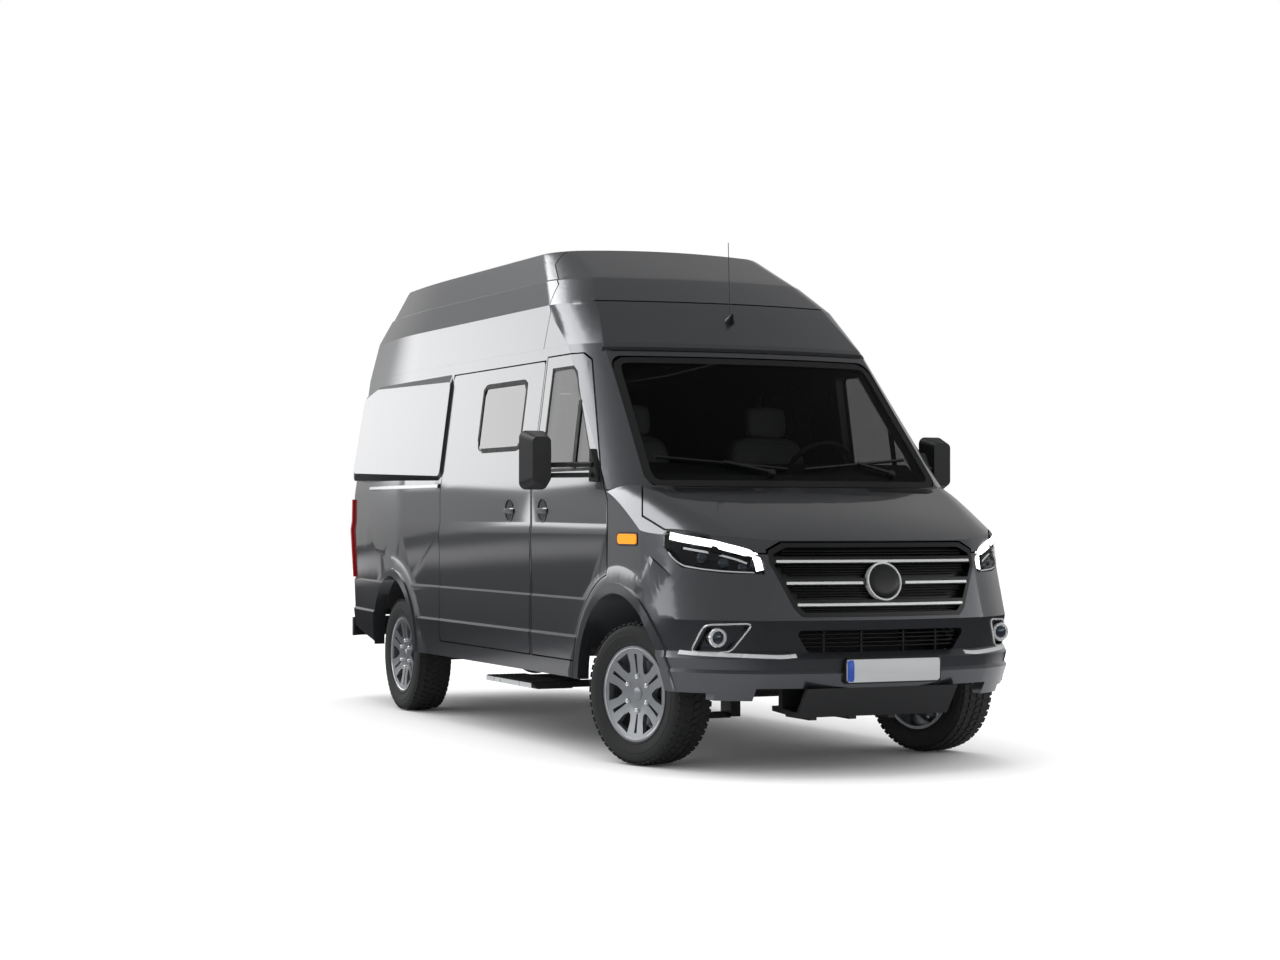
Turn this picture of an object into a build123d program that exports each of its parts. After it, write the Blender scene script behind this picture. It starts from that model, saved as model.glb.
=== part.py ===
"""Camper van: a large high-roof panel van on raised all-wheel-drive running gear.

Frame: +X forward, +Y to the vehicle's left, +Z up, millimetres, ground at Z = 0,
X = 0 halfway along the vehicle.
"""
import math
import os

from build123d import *

# ------------------------------------------------------------------ driving dimensions
length = 5932.0
front_tip = length / 2
rear_tip = -length / 2
axle_front_x = 1962.0
axle_rear_x = -1703.0
tyre_radius = 364.0
hub_height = tyre_radius
tyre_width = 240.0
rim_radius = 236.0
front_track_half = 842.0
rear_track_half = 828.0
kingpin_half = 750.0
ball_joint_radius = 24.0
steer_angle = 16.0

wall = 60.0
panel = 30.0
roof_wall = 40.0
glass_depth = 4.0
glass_thick = 8.0

seat_gap = 0.3
shut_gap = 8.0
door_rear_gap = 10.0
rebate = 16.0
rebate_depth = 22.0

sill_z = 405.0
door_bottom_z = 500.0
waist_z = 1210.0
gutter_z = 2195.0
floor_top_z = 680.0
floor_thick = 40.0
arch_radius = 480.0
arch_z = 390.0
arch_lip = 590.0
lip_width = 52.0
flare_half = 1016.0
flare_flat = 545.0
flare_reach = 760.0
flare_fall = math.tan(math.radians(8.0))

wing_x = 1829.0
pillar_b_x = 762.0
slide_rear_x = -773.0
bonnet_rear_x = 1985.0
bonnet_half = 875.0
cowl_z = 1380.0
wing_seam_z = 1455.0
wing_seam_half = 885.0
bumper_x = 2400.0
bonnet_lip_z = 1085.0
rear_door_bottom_z = 570.0
rear_door_top_z = 2140.0

# ------------------------------------------------------------------ body sections
# Half width of the body side at each height. The cladding and the rub line stand out
# below, the swage under the waist turns outwards, and the glass line leans in.
SIDE_PROFILE = (
    (370.0, 990.0), (620.0, 1012.0), (634.0, 1004.0), (822.0, 1008.0), (834.0, 1000.0),
    (1165.0, 1011.0), (1225.0, 1002.0), (1400.0, 1003.0), (2195.0, 900.0),
)


def side_half(z):
    """Half width of the body side at height z, straight between the rows of the profile."""
    for (z0, y0), (z1, y1) in zip(SIDE_PROFILE, SIDE_PROFILE[1:]):
        if z <= z1:
            return y0 + (y1 - y0) * (z - z0) / (z1 - z0)
    return SIDE_PROFILE[-1][1]


# height, half width, front centre x, front sweep, front half width,
# corner middle x, corner middle y, corner end x, tail x, tail half width
CABIN_LEVELS = (
    (370.0, 990.0, 2140.0, 125.0, 851.0, 1950.0, 905.0, 1815.0, -2905.0, 885.0),
    (620.0, 1012.0, 2140.0, 125.0, 851.0, 1950.0, 908.0, 1815.0, -2920.0, 907.0),
    (634.0, 1004.0, 2140.0, 125.0, 851.0, 1950.0, 908.0, 1815.0, -2915.0, 898.0),
    (822.0, 1008.0, 2140.0, 125.0, 851.0, 1950.0, 910.0, 1815.0, -2925.0, 903.0),
    (834.0, 1000.0, 2140.0, 125.0, 851.0, 1950.0, 910.0, 1815.0, -2920.0, 895.0),
    (1165.0, 1011.0, 2140.0, 125.0, 851.0, 1950.0, 914.0, 1815.0, -2945.0, 908.0),
    (1225.0, 1002.0, 2140.0, 125.0, 851.0, 1950.0, 914.0, 1815.0, -2942.0, 900.0),
    (1400.0, 1003.0, 2140.0, 125.0, 851.0, 1950.0, 914.0, 1815.0, -2932.0, 900.0),
    (2195.0, 900.0, 1385.0, 125.0, 785.0, 1180.0, 842.0, 1040.0, -2850.0, 815.0),
)
ROOF_LEVELS = (
    CABIN_LEVELS[-1],
    (2440.0, 870.0, 1085.0, 100.0, 700.0, 840.0, 832.0, 640.0, -2720.0, 790.0),
    (2596.0, 794.0, 846.0, 82.0, 622.0, 626.0, 744.0, 436.0, -2645.0, 722.0),
    (2606.0, 782.0, 828.0, 80.0, 614.0, 606.0, 732.0, 420.0, -2635.0, 710.0),
    (2780.0, 690.0, 430.0, 60.0, 560.0, 290.0, 645.0, 130.0, -2560.0, 635.0),
    (2860.0, 640.0, 250.0, 60.0, 510.0, 120.0, 600.0, -20.0, -2520.0, 590.0),
)
taper_x = -1500.0
tail_corner = 90.0
crown_z = 2812.0
crown_radius = 11000.0

# height, front centre x, front sweep, front half width, corner middle x and y, corner end x
NOSE_LEVELS = (
    (370.0, 2870.0, 95.0, 600.0, 2620.0, 828.0, 2290.0),
    (505.0, front_tip, 95.0, 600.0, 2690.0, 835.0, 2300.0),
    (522.0, front_tip - 18.0, 95.0, 600.0, 2676.0, 829.0, 2300.0),
    (574.0, front_tip - 8.0, 95.0, 600.0, 2690.0, 833.0, 2300.0),
    (606.0, front_tip - 48.0, 95.0, 600.0, 2655.0, 822.0, 2300.0),
    (760.0, 2944.0, 90.0, 590.0, 2680.0, 830.0, 2290.0),
    (1000.0, 2895.0, 85.0, 570.0, 2590.0, 842.0, 2240.0),
    (1210.0, 2820.0, 80.0, 560.0, 2540.0, 850.0, 2230.0),
    (1600.0, 2820.0, 80.0, 560.0, 2540.0, 850.0, 2230.0),
)
# x, height at the side, shoulder half width, shoulder height, centre height
BONNET_SECTIONS = (
    (1812.0, 1300.0, 843.0, 1462.0, 1498.0),
    (2000.0, 1225.0, 830.0, 1415.0, 1450.0),
    (2350.0, 1050.0, 760.0, 1296.0, 1350.0),
    (2700.0, 925.0, 630.0, 1168.0, 1218.0),
    (2980.0, 780.0, 520.0, 1000.0, 1060.0),
)
# Heights of the rows that only shape ledges and swages of the outer skin. Surfaces deeper
# than ledge_depth run straight past them.
LEDGES = (505.0, 522.0, 574.0, 620.0, 634.0, 822.0, 1165.0)
ledge_depth = 20.0
nose_back_x = 1700.0
nose_flush = 1.0
base_z = CABIN_LEVELS[0][0]
gate_half = 1040.0


def rows_at(levels, inset):
    """Rows of a level table that shape the surface at this inset."""
    return [row for row in levels if inset < ledge_depth or row[0] not in LEDGES]


def half_outline(points, mirror_sign):
    """Corner, side and tail edges of one flank, drawn from front to rear."""
    front, middle, side, taper, tail_side, tail_mid, tail = [
        (x, mirror_sign * y) for x, y in points
    ]
    ThreePointArc(front, middle, side)
    Line(side, taper)
    half_way = ((taper[0] + tail_side[0]) / 2, taper[1] + (tail_side[1] - taper[1]) * 0.27)
    ThreePointArc(taper, half_way, tail_side)
    ThreePointArc(tail_side, tail_mid, tail)


def level_loft(levels, inset):
    """Plan outlines of the given levels joined by straight walls, moved inwards by inset."""
    slant = 1.4 * inset
    with BuildPart() as hull:
        for row in rows_at(levels, inset):
            z, half, nose, sweep, nose_half, mx, my, sx, tail_x, tail_half = row
            tail_y = tail_half - inset
            tail_back = tail_x + inset
            turn = tail_corner * (1 - math.sqrt(0.5))
            points = (
                (nose - sweep - slant, nose_half - 0.6 * inset),
                (mx - slant, my - inset),
                (sx - slant, half - inset),
                (taper_x, half - inset),
                (tail_back + tail_corner, tail_y),
                (tail_back + turn, tail_y - turn),
                (tail_back, tail_y - tail_corner),
            )
            height = z if z < crown_z else z - inset
            with BuildSketch(Plane.XY.offset(height)):
                with BuildLine():
                    front = points[0]
                    ThreePointArc(
                        (front[0], -front[1]), (nose - slant, 0), (front[0], front[1])
                    )
                    half_outline(points, 1)
                    half_outline(points, -1)
                    Line((points[-1][0], points[-1][1]), (points[-1][0], -points[-1][1]))
                make_face()
        loft(ruled=True)
    return hull.part


def cabin_hull(inset):
    """Outer form of the cabin up to the gutter, moved inwards by inset."""
    return level_loft(CABIN_LEVELS, inset)


def roof_hull(inset):
    """Outer form of the high roof under its crown, moved inwards by inset."""
    with BuildPart() as hull:
        add(level_loft(ROOF_LEVELS, inset))
        with BuildSketch(Plane.YZ.offset(rear_tip)):
            with Locations((0, crown_z - inset - crown_radius)):
                Circle(crown_radius)
        extrude(amount=length, mode=Mode.INTERSECT)
    return hull.part


def nose_hull(inset):
    """Outer form of the nose under the bonnet line, moved inwards by inset."""
    with BuildPart() as plan:
        for z, nose, sweep, nose_half, mx, my, sx in rows_at(NOSE_LEVELS, inset):
            half = side_half(min(z, waist_z)) - nose_flush - inset
            front = (nose - sweep - inset, nose_half - 0.4 * inset)
            middle = (mx - 0.7 * inset, my - 0.7 * inset)
            with BuildSketch(Plane.XY.offset(z)):
                with BuildLine():
                    ThreePointArc((front[0], -front[1]), (nose - inset, 0), front)
                    for sign in (1, -1):
                        ThreePointArc(
                            (front[0], sign * front[1]),
                            (middle[0], sign * middle[1]),
                            (sx, sign * half),
                        )
                        Line((sx, sign * half), (nose_back_x, sign * half))
                    Line((nose_back_x, half), (nose_back_x, -half))
                make_face()
        loft(ruled=True)
    with BuildPart() as under:
        for x, side_z, edge_y, edge_z, centre_z in BONNET_SECTIONS:
            bulge_y = 0.5 * (gate_half + edge_y) + 35
            bulge_z = 0.5 * (side_z + edge_z) + 35 - inset
            with BuildSketch(Plane.YZ.offset(x)):
                with BuildLine():
                    ThreePointArc(
                        (-edge_y, edge_z - inset), (0, centre_z - inset), (edge_y, edge_z - inset)
                    )
                    for sign in (1, -1):
                        ThreePointArc(
                            (sign * edge_y, edge_z - inset),
                            (sign * bulge_y, bulge_z),
                            (sign * gate_half, side_z - inset),
                        )
                        Line((sign * gate_half, side_z - inset), (sign * gate_half, 300))
                    Line((-gate_half, 300), (gate_half, 300))
                make_face()
        loft()
    with BuildPart() as nose:
        add(plan.part)
        add(under.part, mode=Mode.INTERSECT)
    return nose.part


# Plan outline (x, y) that the arch flares stay within.
FLARE_PLAN = (
    (-2300.0, 700.0), (-2300.0, 940.0), (-2240.0, 962.0), (-2100.0, 977.0), (-1900.0, 994.0),
    (-1750.0, 1008.0), (-1600.0, 1016.0), (2110.0, 1016.0), (2200.0, 1011.0), (2280.0, 1003.0),
    (2330.0, 992.0), (2380.0, 974.0), (2430.0, 950.0), (2480.0, 920.0), (2480.0, 700.0),
)


def arch_flares(inset):
    """Dished discs that swell the body side around the wheel arches, moved inwards by inset."""
    with BuildPart() as limit:
        with BuildSketch(Plane.XY.offset(base_z)):
            with BuildLine():
                Polyline(*[(x, y - inset) for x, y in FLARE_PLAN], close=True)
            make_face()
        extrude(amount=gutter_z - base_z)
    with BuildPart() as pair:
        for axle_x in (axle_front_x, axle_rear_x):
            with BuildSketch(Plane(origin=(axle_x, 0, arch_z), x_dir=(1, 0, 0), z_dir=(0, 0, 1))):
                with BuildLine():
                    Polyline(
                        (0, 800), (0, flare_half - inset), (flare_flat, flare_half - inset),
                        (flare_reach, flare_half - inset - (flare_reach - flare_flat) * flare_fall),
                        (flare_reach, 800), close=True,
                    )
                make_face()
            revolve(axis=Axis((axle_x, 0, arch_z), (0, 1, 0)))
        add(limit.part, mode=Mode.INTERSECT)
    return pair.part


def body_hull(inset):
    """Whole outer form of the body under the gutter, moved inwards by inset."""
    with BuildPart() as hull:
        add(cabin_hull(inset))
        add(nose_hull(inset))
        if inset < ledge_depth:
            flares = arch_flares(inset)
            add(flares)
            mirror(flares, about=Plane.XZ)
    return hull.part


def side_zone(points, y_from, y_to, corner=0.0):
    """Prism of a side-view outline (x, z), reaching from y_from to y_to."""
    with BuildPart() as zone:
        with BuildSketch(Plane.XZ.offset(-y_from)) as outline:
            with BuildLine():
                Polyline(*points, close=True)
            make_face()
            if corner:
                fillet(outline.vertices(), corner)
        extrude(amount=-(y_to - y_from))
    return zone.part


def plan_zone(points, z_from, z_to):
    """Prism of a plan outline (x, y), reaching from z_from to z_to."""
    with BuildPart() as zone:
        with BuildSketch(Plane.XY.offset(z_from)):
            with BuildLine():
                Polyline(*points, close=True)
            make_face()
        extrude(amount=z_to - z_from)
    return zone.part


def front_zone(points, x_from, x_to, corner=0.0):
    """Prism of a front-view outline (y, z), reaching from x_from to x_to."""
    with BuildPart() as zone:
        with BuildSketch(Plane.YZ.offset(x_from)) as outline:
            with BuildLine():
                Polyline(*points, close=True)
            make_face()
            if corner:
                fillet(outline.vertices(), corner)
        extrude(amount=x_to - x_from)
    return zone.part


def block(x_from, x_to, y_from, y_to, z_from, z_to):
    """Plain block between the given faces."""
    with BuildPart() as solid:
        with Locations(((x_from + x_to) / 2, (y_from + y_to) / 2, (z_from + z_to) / 2)):
            Box(x_to - x_from, y_to - y_from, z_to - z_from)
    return solid.part


def across(radius, x, z, y_from, y_to):
    """Cylinder lying across the vehicle."""
    with BuildPart() as solid:
        with BuildSketch(Plane.XZ.offset(-y_from)):
            with Locations((x, z)):
                Circle(radius)
        extrude(amount=-(y_to - y_from))
    return solid.part


def upright(radius, x, y, z_from, z_to):
    """Upright cylinder."""
    with BuildPart() as solid:
        with BuildSketch(Plane.XY.offset(z_from)):
            with Locations((x, y)):
                Circle(radius)
        extrude(amount=z_to - z_from)
    return solid.part


def grown(points, amount):
    """Outline grown outwards from its middle by about amount on every side."""
    mid_a = (min(p[0] for p in points) + max(p[0] for p in points)) / 2
    mid_b = (min(p[1] for p in points) + max(p[1] for p in points)) / 2
    half_a = (max(p[0] for p in points) - min(p[0] for p in points)) / 2
    half_b = (max(p[1] for p in points) - min(p[1] for p in points)) / 2
    return [
        (mid_a + (a - mid_a) * (1 + amount / half_a), mid_b + (b - mid_b) * (1 + amount / half_b))
        for a, b in points
    ]


def finish(builder, name):
    """Name a finished piece and write it out."""
    builder.part.label = name
    export_step(builder.part, f"parts/{name}.step")


def finish_pair(builder, name):
    """Write out a left-hand piece and its mirror image on the right."""
    with BuildPart() as twin:
        mirror(builder.part, about=Plane.XZ)
    finish(builder, f"{name}_left")
    finish(twin, f"{name}_right")


os.makedirs("parts", exist_ok=True)

# ------------------------------------------------------------------ shells
outside = body_hull(0)
skin_clear = body_hull(-seat_gap)
cabin_clear = cabin_hull(-seat_gap)
panel_hull = body_hull(panel)
wall_hull = body_hull(wall)
rebate_hull = cabin_hull(rebate_depth)
with BuildPart() as thick_shell:
    add(outside)
    add(wall_hull, mode=Mode.SUBTRACT)
with BuildPart() as thin_shell:
    add(outside)
    add(panel_hull, mode=Mode.SUBTRACT)
with BuildPart() as glass_shell:
    add(cabin_hull(glass_depth))
    add(cabin_hull(glass_depth + glass_thick), mode=Mode.SUBTRACT)
with BuildPart() as door_lining:
    add(rebate_hull)
    add(wall_hull, mode=Mode.SUBTRACT)

# ------------------------------------------------------------------ outlines of the openings
front_door_outline = [
    (pillar_b_x + door_rear_gap, door_bottom_z),
    (wing_x - shut_gap, door_bottom_z),
    (wing_x - shut_gap, 1345.0),
    (1262.0, 2100.0),
    (1190.0, 2138.0),
    (pillar_b_x + door_rear_gap, 2138.0),
]
front_door_hole = [
    (pillar_b_x, door_bottom_z - shut_gap),
    (wing_x, door_bottom_z - shut_gap),
    (wing_x, 1348.0),
    (1267.0, 2107.0),
    (1194.0, 2146.0),
    (pillar_b_x, 2146.0),
]
front_window = [
    (860.0, 1500.0),
    (1610.0, 1500.0),
    (1212.0, 2040.0),
    (1160.0, 2075.0),
    (860.0, 2075.0),
]
slide_door_outline = [
    (slide_rear_x + shut_gap, door_bottom_z),
    (pillar_b_x - 22.0, door_bottom_z),
    (pillar_b_x - 22.0, 2120.0),
    (slide_rear_x + shut_gap, 2120.0),
]
side_window = [(-200.0, 1640.0), (500.0, 1640.0), (500.0, 2025.0), (-200.0, 2025.0)]
windscreen_hole = [(-860.0, 1405.0), (860.0, 1405.0), (783.0, 2122.0), (-783.0, 2122.0)]
rear_window = [(130.0, 1450.0), (700.0, 1450.0), (655.0, 2030.0), (130.0, 2030.0)]
rear_door_side = [
    (800.0, rear_door_bottom_z), (812.0, waist_z), (722.0, rear_door_top_z),
]
bonnet_side = [
    (bonnet_rear_x, bonnet_half), (2185.0, 965.0), (2375.0, 930.0), (2617.0, 780.0),
    (2735.0, 645.0), (2816.0, 562.0), (3000.0, 540.0),
]
bonnet_back_mid = 2152.0
bonnet_flange = 14.0
lamp_side = [
    (2385.0, 1260.0), (2395.0, 1115.0), (2447.0, 1054.0), (2501.0, 1012.0), (2685.0, 985.0),
    (2800.0, 981.0), (2990.0, 981.0), (2990.0, 1260.0),
]
lamp_plan = [
    (2360.0, 940.0), (2617.0, 785.0), (2738.0, 650.0), (2775.0, 598.0), (3000.0, 588.0),
    (3000.0, 1100.0), (2360.0, 1100.0),
]
grille_outline = [
    (-440.0, 775.0), (440.0, 775.0), (478.0, 815.0), (572.0, 1030.0), (572.0, 1095.0),
    (500.0, 1133.0), (-500.0, 1133.0), (-572.0, 1095.0), (-572.0, 1030.0), (-478.0, 815.0),
]
grille_bars = ((824.0, 858.0), (928.0, 962.0), (1032.0, 1066.0))
grille_frame = 22.0
grille_depth = 48.0
sensor_cover = (92.0, 945.0)
intake_outline = [(-405.0, 606.0), (405.0, 606.0), (475.0, 712.0), (-475.0, 712.0)]
fog_recess = [(873.0, 613.0), (839.0, 725.0), (682.0, 734.0), (756.0, 617.0)]
fog_lamp = (42.0, 2640.0, 2698.0, 800.0, 676.0)
bumper_outline = [
    (2300.0, 300.0), (3000.0, 300.0), (3000.0, 1300.0), (2502.0, 1300.0), (2502.0, 969.0),
    (2474.0, 919.0), (2398.0, 838.0), (2300.0, 820.0),
]

# ------------------------------------------------------------------ side walls
arch_front_cut = across(arch_radius, axle_front_x, arch_z, -1100, 1100)
arch_rear_cut = across(arch_radius, axle_rear_x, arch_z, -1100, 1100)
rear_hole_side = [(y + shut_gap, z) for y, z in rear_door_side]
rear_hole_side[0] = (rear_hole_side[0][0], rear_door_bottom_z - shut_gap)
rear_hole_side[-1] = (rear_hole_side[-1][0], rear_door_top_z + shut_gap)
rear_sweep = [
    (axle_rear_x - arch_radius, 300.0), (axle_rear_x - arch_radius, 424.0), (-2748.0, 494.0),
    (rear_tip, 505.0), (rear_tip, 300.0),
]
rear_opening = front_zone(
    rear_hole_side + [(-y, z) for y, z in reversed(rear_hole_side)], rear_tip, -2600
)

with BuildPart() as plain_wall:
    add(thick_shell.part)
    add(
        block(rear_tip, pillar_b_x, seat_gap / 2, 1100.0, sill_z, gutter_z),
        mode=Mode.INTERSECT,
    )
    add(rear_opening, mode=Mode.SUBTRACT)
    add(arch_rear_cut, mode=Mode.SUBTRACT)
    add(side_zone(rear_sweep, 0, 1100), mode=Mode.SUBTRACT)
with BuildPart() as side_wall_left:
    add(plain_wall.part)
    add(side_zone(side_window, 650, 1100, corner=60), mode=Mode.SUBTRACT)
finish(side_wall_left, "side_wall_left")
with BuildPart() as side_wall_right:
    mirror(plain_wall.part, about=Plane.XZ)
    add(side_zone(grown(slide_door_outline, shut_gap), -1100, -650), mode=Mode.SUBTRACT)
finish(side_wall_right, "side_wall_right")

# ------------------------------------------------------------------ sliding door and side glass
handle_cup = 59.0
handle_depth = 24.0
handle_z = 1290.0
slide_handle_x = 417.0
door_handle_x = 922.0
with BuildPart() as sliding_door:
    add(thick_shell.part)
    add(side_zone(slide_door_outline, -1100, -650, corner=30), mode=Mode.INTERSECT)
    add(side_zone(side_window, -1100, -650, corner=60), mode=Mode.SUBTRACT)
    add(
        across(handle_cup, slide_handle_x, handle_z, -1100, handle_depth - side_half(handle_z)),
        mode=Mode.SUBTRACT,
    )
finish(sliding_door, "sliding_door")

with BuildPart() as side_glass:
    add(glass_shell.part)
    add(side_zone(grown(side_window, -seat_gap), -1100, 1100, corner=60), mode=Mode.INTERSECT)
finish(side_glass, "side_glass")

# ------------------------------------------------------------------ cab frame
arch_clear = across(arch_lip, axle_front_x, arch_z, -1100, 1100)
with BuildPart() as door_hole_block:
    for y_from, y_to in ((-1100, -650), (650, 1100)):
        add(side_zone(front_door_hole, y_from, y_to))
    add(arch_clear, mode=Mode.SUBTRACT)
windscreen_block = front_zone(windscreen_hole, 1000, 2300, corner=70)


def bonnet_column(edge, bottom_z):
    """Upright column over the bonnet's plan outline, edge wider all round."""
    with BuildPart() as column:
        with BuildSketch(Plane.XY.offset(bottom_z)):
            with BuildLine():
                Polyline(*[(x, -y) for x, y in bonnet_side], *reversed(bonnet_side))
                ThreePointArc(
                    (bonnet_rear_x, -bonnet_half), (bonnet_back_mid, 0), (bonnet_rear_x, bonnet_half)
                )
            make_face()
            if edge:
                offset(amount=edge)
        extrude(amount=500)
    return column.part


bonnet_zone = bonnet_column(0, bonnet_lip_z)
bonnet_hole = bonnet_column(shut_gap, bonnet_lip_z - shut_gap / 2)
bonnet_seat = bonnet_column(seat_gap, bonnet_lip_z)

firewall_x = 1840.0
firewall_thick = 25.0
cowl_thick = 22.0
with BuildPart() as bulkhead:
    add(block(firewall_x, firewall_x + firewall_thick, -930, 930, floor_top_z + seat_gap, 1400))
    add(block(firewall_x, 2065, -540, 540, cowl_z, cowl_z + cowl_thick))
    add(block(firewall_x, 1990, -770, 770, cowl_z, cowl_z + cowl_thick))
    for sign in (-1, 1):
        near, far = sorted((sign * 860.0, sign * 940.0))
        add(block(firewall_x, 1885, near, far, 900, 1340))
        near, far = sorted((sign * 500.0, sign * 1000.0))
        add(across(arch_lip, axle_front_x, arch_z, near, far), mode=Mode.SUBTRACT)
        near, far = sorted((sign * 700.0, sign * 770.0))
        add(block(1960, 2060, near, far, cowl_z, cowl_z + 18))
    add(bonnet_seat, mode=Mode.SUBTRACT)

with BuildPart() as cab_frame:
    add(thick_shell.part)
    add(block(pillar_b_x + seat_gap, 2250, -1100, 1100, sill_z, gutter_z), mode=Mode.INTERSECT)
    add(bonnet_hole, mode=Mode.SUBTRACT)
    add(block(wing_x, 2300, -1100, 1100, 300, cowl_z), mode=Mode.SUBTRACT)
    for sign in (-1, 1):
        near, far = sorted((sign * wing_seam_half, sign * 1100.0))
        add(block(wing_x, 2300, near, far, 300, wing_seam_z), mode=Mode.SUBTRACT)
        add(block(bonnet_rear_x - shut_gap, 2300, near, far, 300, 1600), mode=Mode.SUBTRACT)
    add(door_hole_block.part, mode=Mode.SUBTRACT)
    add(windscreen_block, mode=Mode.SUBTRACT)
    add(arch_clear, mode=Mode.SUBTRACT)
    add(bulkhead.part)
finish(cab_frame, "cab_frame")

with BuildPart() as windscreen:
    add(glass_shell.part)
    add(front_zone(grown(windscreen_hole, -seat_gap), 1000, 2300, corner=70), mode=Mode.INTERSECT)
    add(bonnet_hole, mode=Mode.SUBTRACT)
finish(windscreen, "windscreen")

# ------------------------------------------------------------------ high roof
groove_depth = 7.0
roof_seam = [
    (675.0, 2171.0), (720.0, 2403.0), (610.0, 2567.0), (371.0, 2705.0), (250.0, 2860.0),
    (256.0, 2860.0), (377.0, 2706.0), (616.5, 2569.0), (726.5, 2403.0), (681.5, 2171.0),
]
with BuildPart() as roof_grooves:
    add(block(900, 1100, -712, 712, 2446, 2454))
    add(side_zone(roof_seam, -1100, 1100))
    add(roof_hull(groove_depth), mode=Mode.SUBTRACT)
with BuildPart() as high_roof:
    add(roof_hull(0))
    add(roof_hull(roof_wall), mode=Mode.SUBTRACT)
    add(block(rear_tip, 2000, -1100, 1100, gutter_z + seat_gap, 2900), mode=Mode.INTERSECT)
    add(roof_grooves.part, mode=Mode.SUBTRACT)
finish(high_roof, "high_roof")

# ------------------------------------------------------------------ front doors and their glass
flank_from = 650.0
flank_to = 1100.0
with BuildPart() as door_inner:
    add(door_lining.part)
    add(side_zone(grown(front_door_outline, -rebate), flank_from, flank_to), mode=Mode.INTERSECT)
with BuildPart() as front_door:
    add(thick_shell.part)
    add(side_zone(front_door_outline, flank_from, flank_to), mode=Mode.INTERSECT)
    add(rebate_hull, mode=Mode.SUBTRACT)
    add(door_inner.part)
    add(arch_clear, mode=Mode.SUBTRACT)
    add(side_zone(front_window, flank_from, flank_to), mode=Mode.SUBTRACT)
    add(
        across(handle_cup, door_handle_x, handle_z, side_half(handle_z) - handle_depth, 1100),
        mode=Mode.SUBTRACT,
    )
finish_pair(front_door, "front_door")
with BuildPart() as door_glass:
    add(glass_shell.part)
    add(side_zone(grown(front_window, -seat_gap), flank_from, flank_to), mode=Mode.INTERSECT)
finish_pair(door_glass, "door_glass")

# ------------------------------------------------------------------ mirrors
mirror_x = 1395.0
mirror_y = (1135.0, 1300.0)
mirror_z = (1400.0, 1712.0)
mirror_depth = 120.0
mirror_clear = cabin_hull(-2 * seat_gap)
mirror_plane = Plane(
    origin=(mirror_x - mirror_depth / 2, sum(mirror_y) / 2, sum(mirror_z) / 2),
    x_dir=(0, 1, 0), z_dir=(1, 0, 0),
)
with BuildPart() as mirror_left:
    with BuildSketch(mirror_plane):
        RectangleRounded(mirror_y[1] - mirror_y[0], mirror_z[1] - mirror_z[0], 40)
    with BuildSketch(mirror_plane.offset(mirror_depth)):
        RectangleRounded(mirror_y[1] - mirror_y[0] - 60, mirror_z[1] - mirror_z[0] - 70, 30)
    loft()
    for arm_z in (1475.0, 1530.0):
        arm_root = Vector(1640.0, 1009.0, arm_z)
        arm_tip = Vector(mirror_x + 20, 1160.0, arm_z)
        with BuildSketch(Plane(origin=arm_root, z_dir=arm_tip - arm_root)):
            Circle(13)
        extrude(amount=(arm_tip - arm_root).length)
    with BuildSketch(Plane.XZ.offset(-1009.0)) as foot:
        with BuildLine():
            Polyline((1590, 1440), (1720, 1440), (1600, 1640), close=True)
        make_face()
        fillet(foot.vertices(), 12)
    extrude(amount=34.0)
    add(mirror_clear, mode=Mode.SUBTRACT)
finish_pair(mirror_left, "mirror")

# ------------------------------------------------------------------ rear doors
rear_door_inner_half = 5.0
rear_door_outline = [
    (rear_door_inner_half, rear_door_bottom_z), *rear_door_side,
    (rear_door_inner_half, rear_door_top_z),
]
with BuildPart() as rear_lining:
    add(door_lining.part)
    add(front_zone(grown(rear_door_outline, -rebate), rear_tip, -2600), mode=Mode.INTERSECT)
with BuildPart() as rear_door:
    add(thick_shell.part)
    add(front_zone(rear_door_outline, rear_tip, -2600), mode=Mode.INTERSECT)
    add(rebate_hull, mode=Mode.SUBTRACT)
    add(rear_lining.part)
    add(front_zone(rear_window, rear_tip, -2600, corner=50), mode=Mode.SUBTRACT)
finish_pair(rear_door, "rear_door")
with BuildPart() as rear_glass:
    add(glass_shell.part)
    add(
        front_zone(grown(rear_window, -seat_gap), rear_tip, -2600, corner=50),
        mode=Mode.INTERSECT,
    )
finish_pair(rear_glass, "rear_glass")

# ------------------------------------------------------------------ bonnet, lamps, grille, bumper
with BuildPart() as lamp_cut:
    for sign in (-1, 1):
        add(plan_zone([(x, sign * y) for x, y in lamp_plan], 800, 1300))
    add(side_zone(lamp_side, -1100, 1100), mode=Mode.INTERSECT)
with BuildPart() as lamp_body:
    for sign in (-1, 1):
        add(plan_zone([(x, sign * y) for x, y in grown(lamp_plan, -seat_gap)], 800, 1300))
    add(side_zone(grown(lamp_side, -seat_gap), -1100, 1100), mode=Mode.INTERSECT)

grille_cut = front_zone(grille_outline, 2600, 3000, corner=20)
with BuildPart() as bonnet_skin:
    add(thin_shell.part)
    add(bonnet_zone, mode=Mode.INTERSECT)
    add(nose_hull(bonnet_flange), mode=Mode.SUBTRACT)
with BuildPart() as bonnet_lining:
    add(thin_shell.part)
    add(bonnet_column(-bonnet_flange, bonnet_lip_z + bonnet_flange), mode=Mode.INTERSECT)
with BuildPart() as bonnet:
    add(bonnet_skin.part)
    add(bonnet_lining.part)
    add(lamp_cut.part, mode=Mode.SUBTRACT)
    add(front_zone(grown(grille_outline, shut_gap), 2600, 3000), mode=Mode.SUBTRACT)
finish(bonnet, "bonnet")

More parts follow.
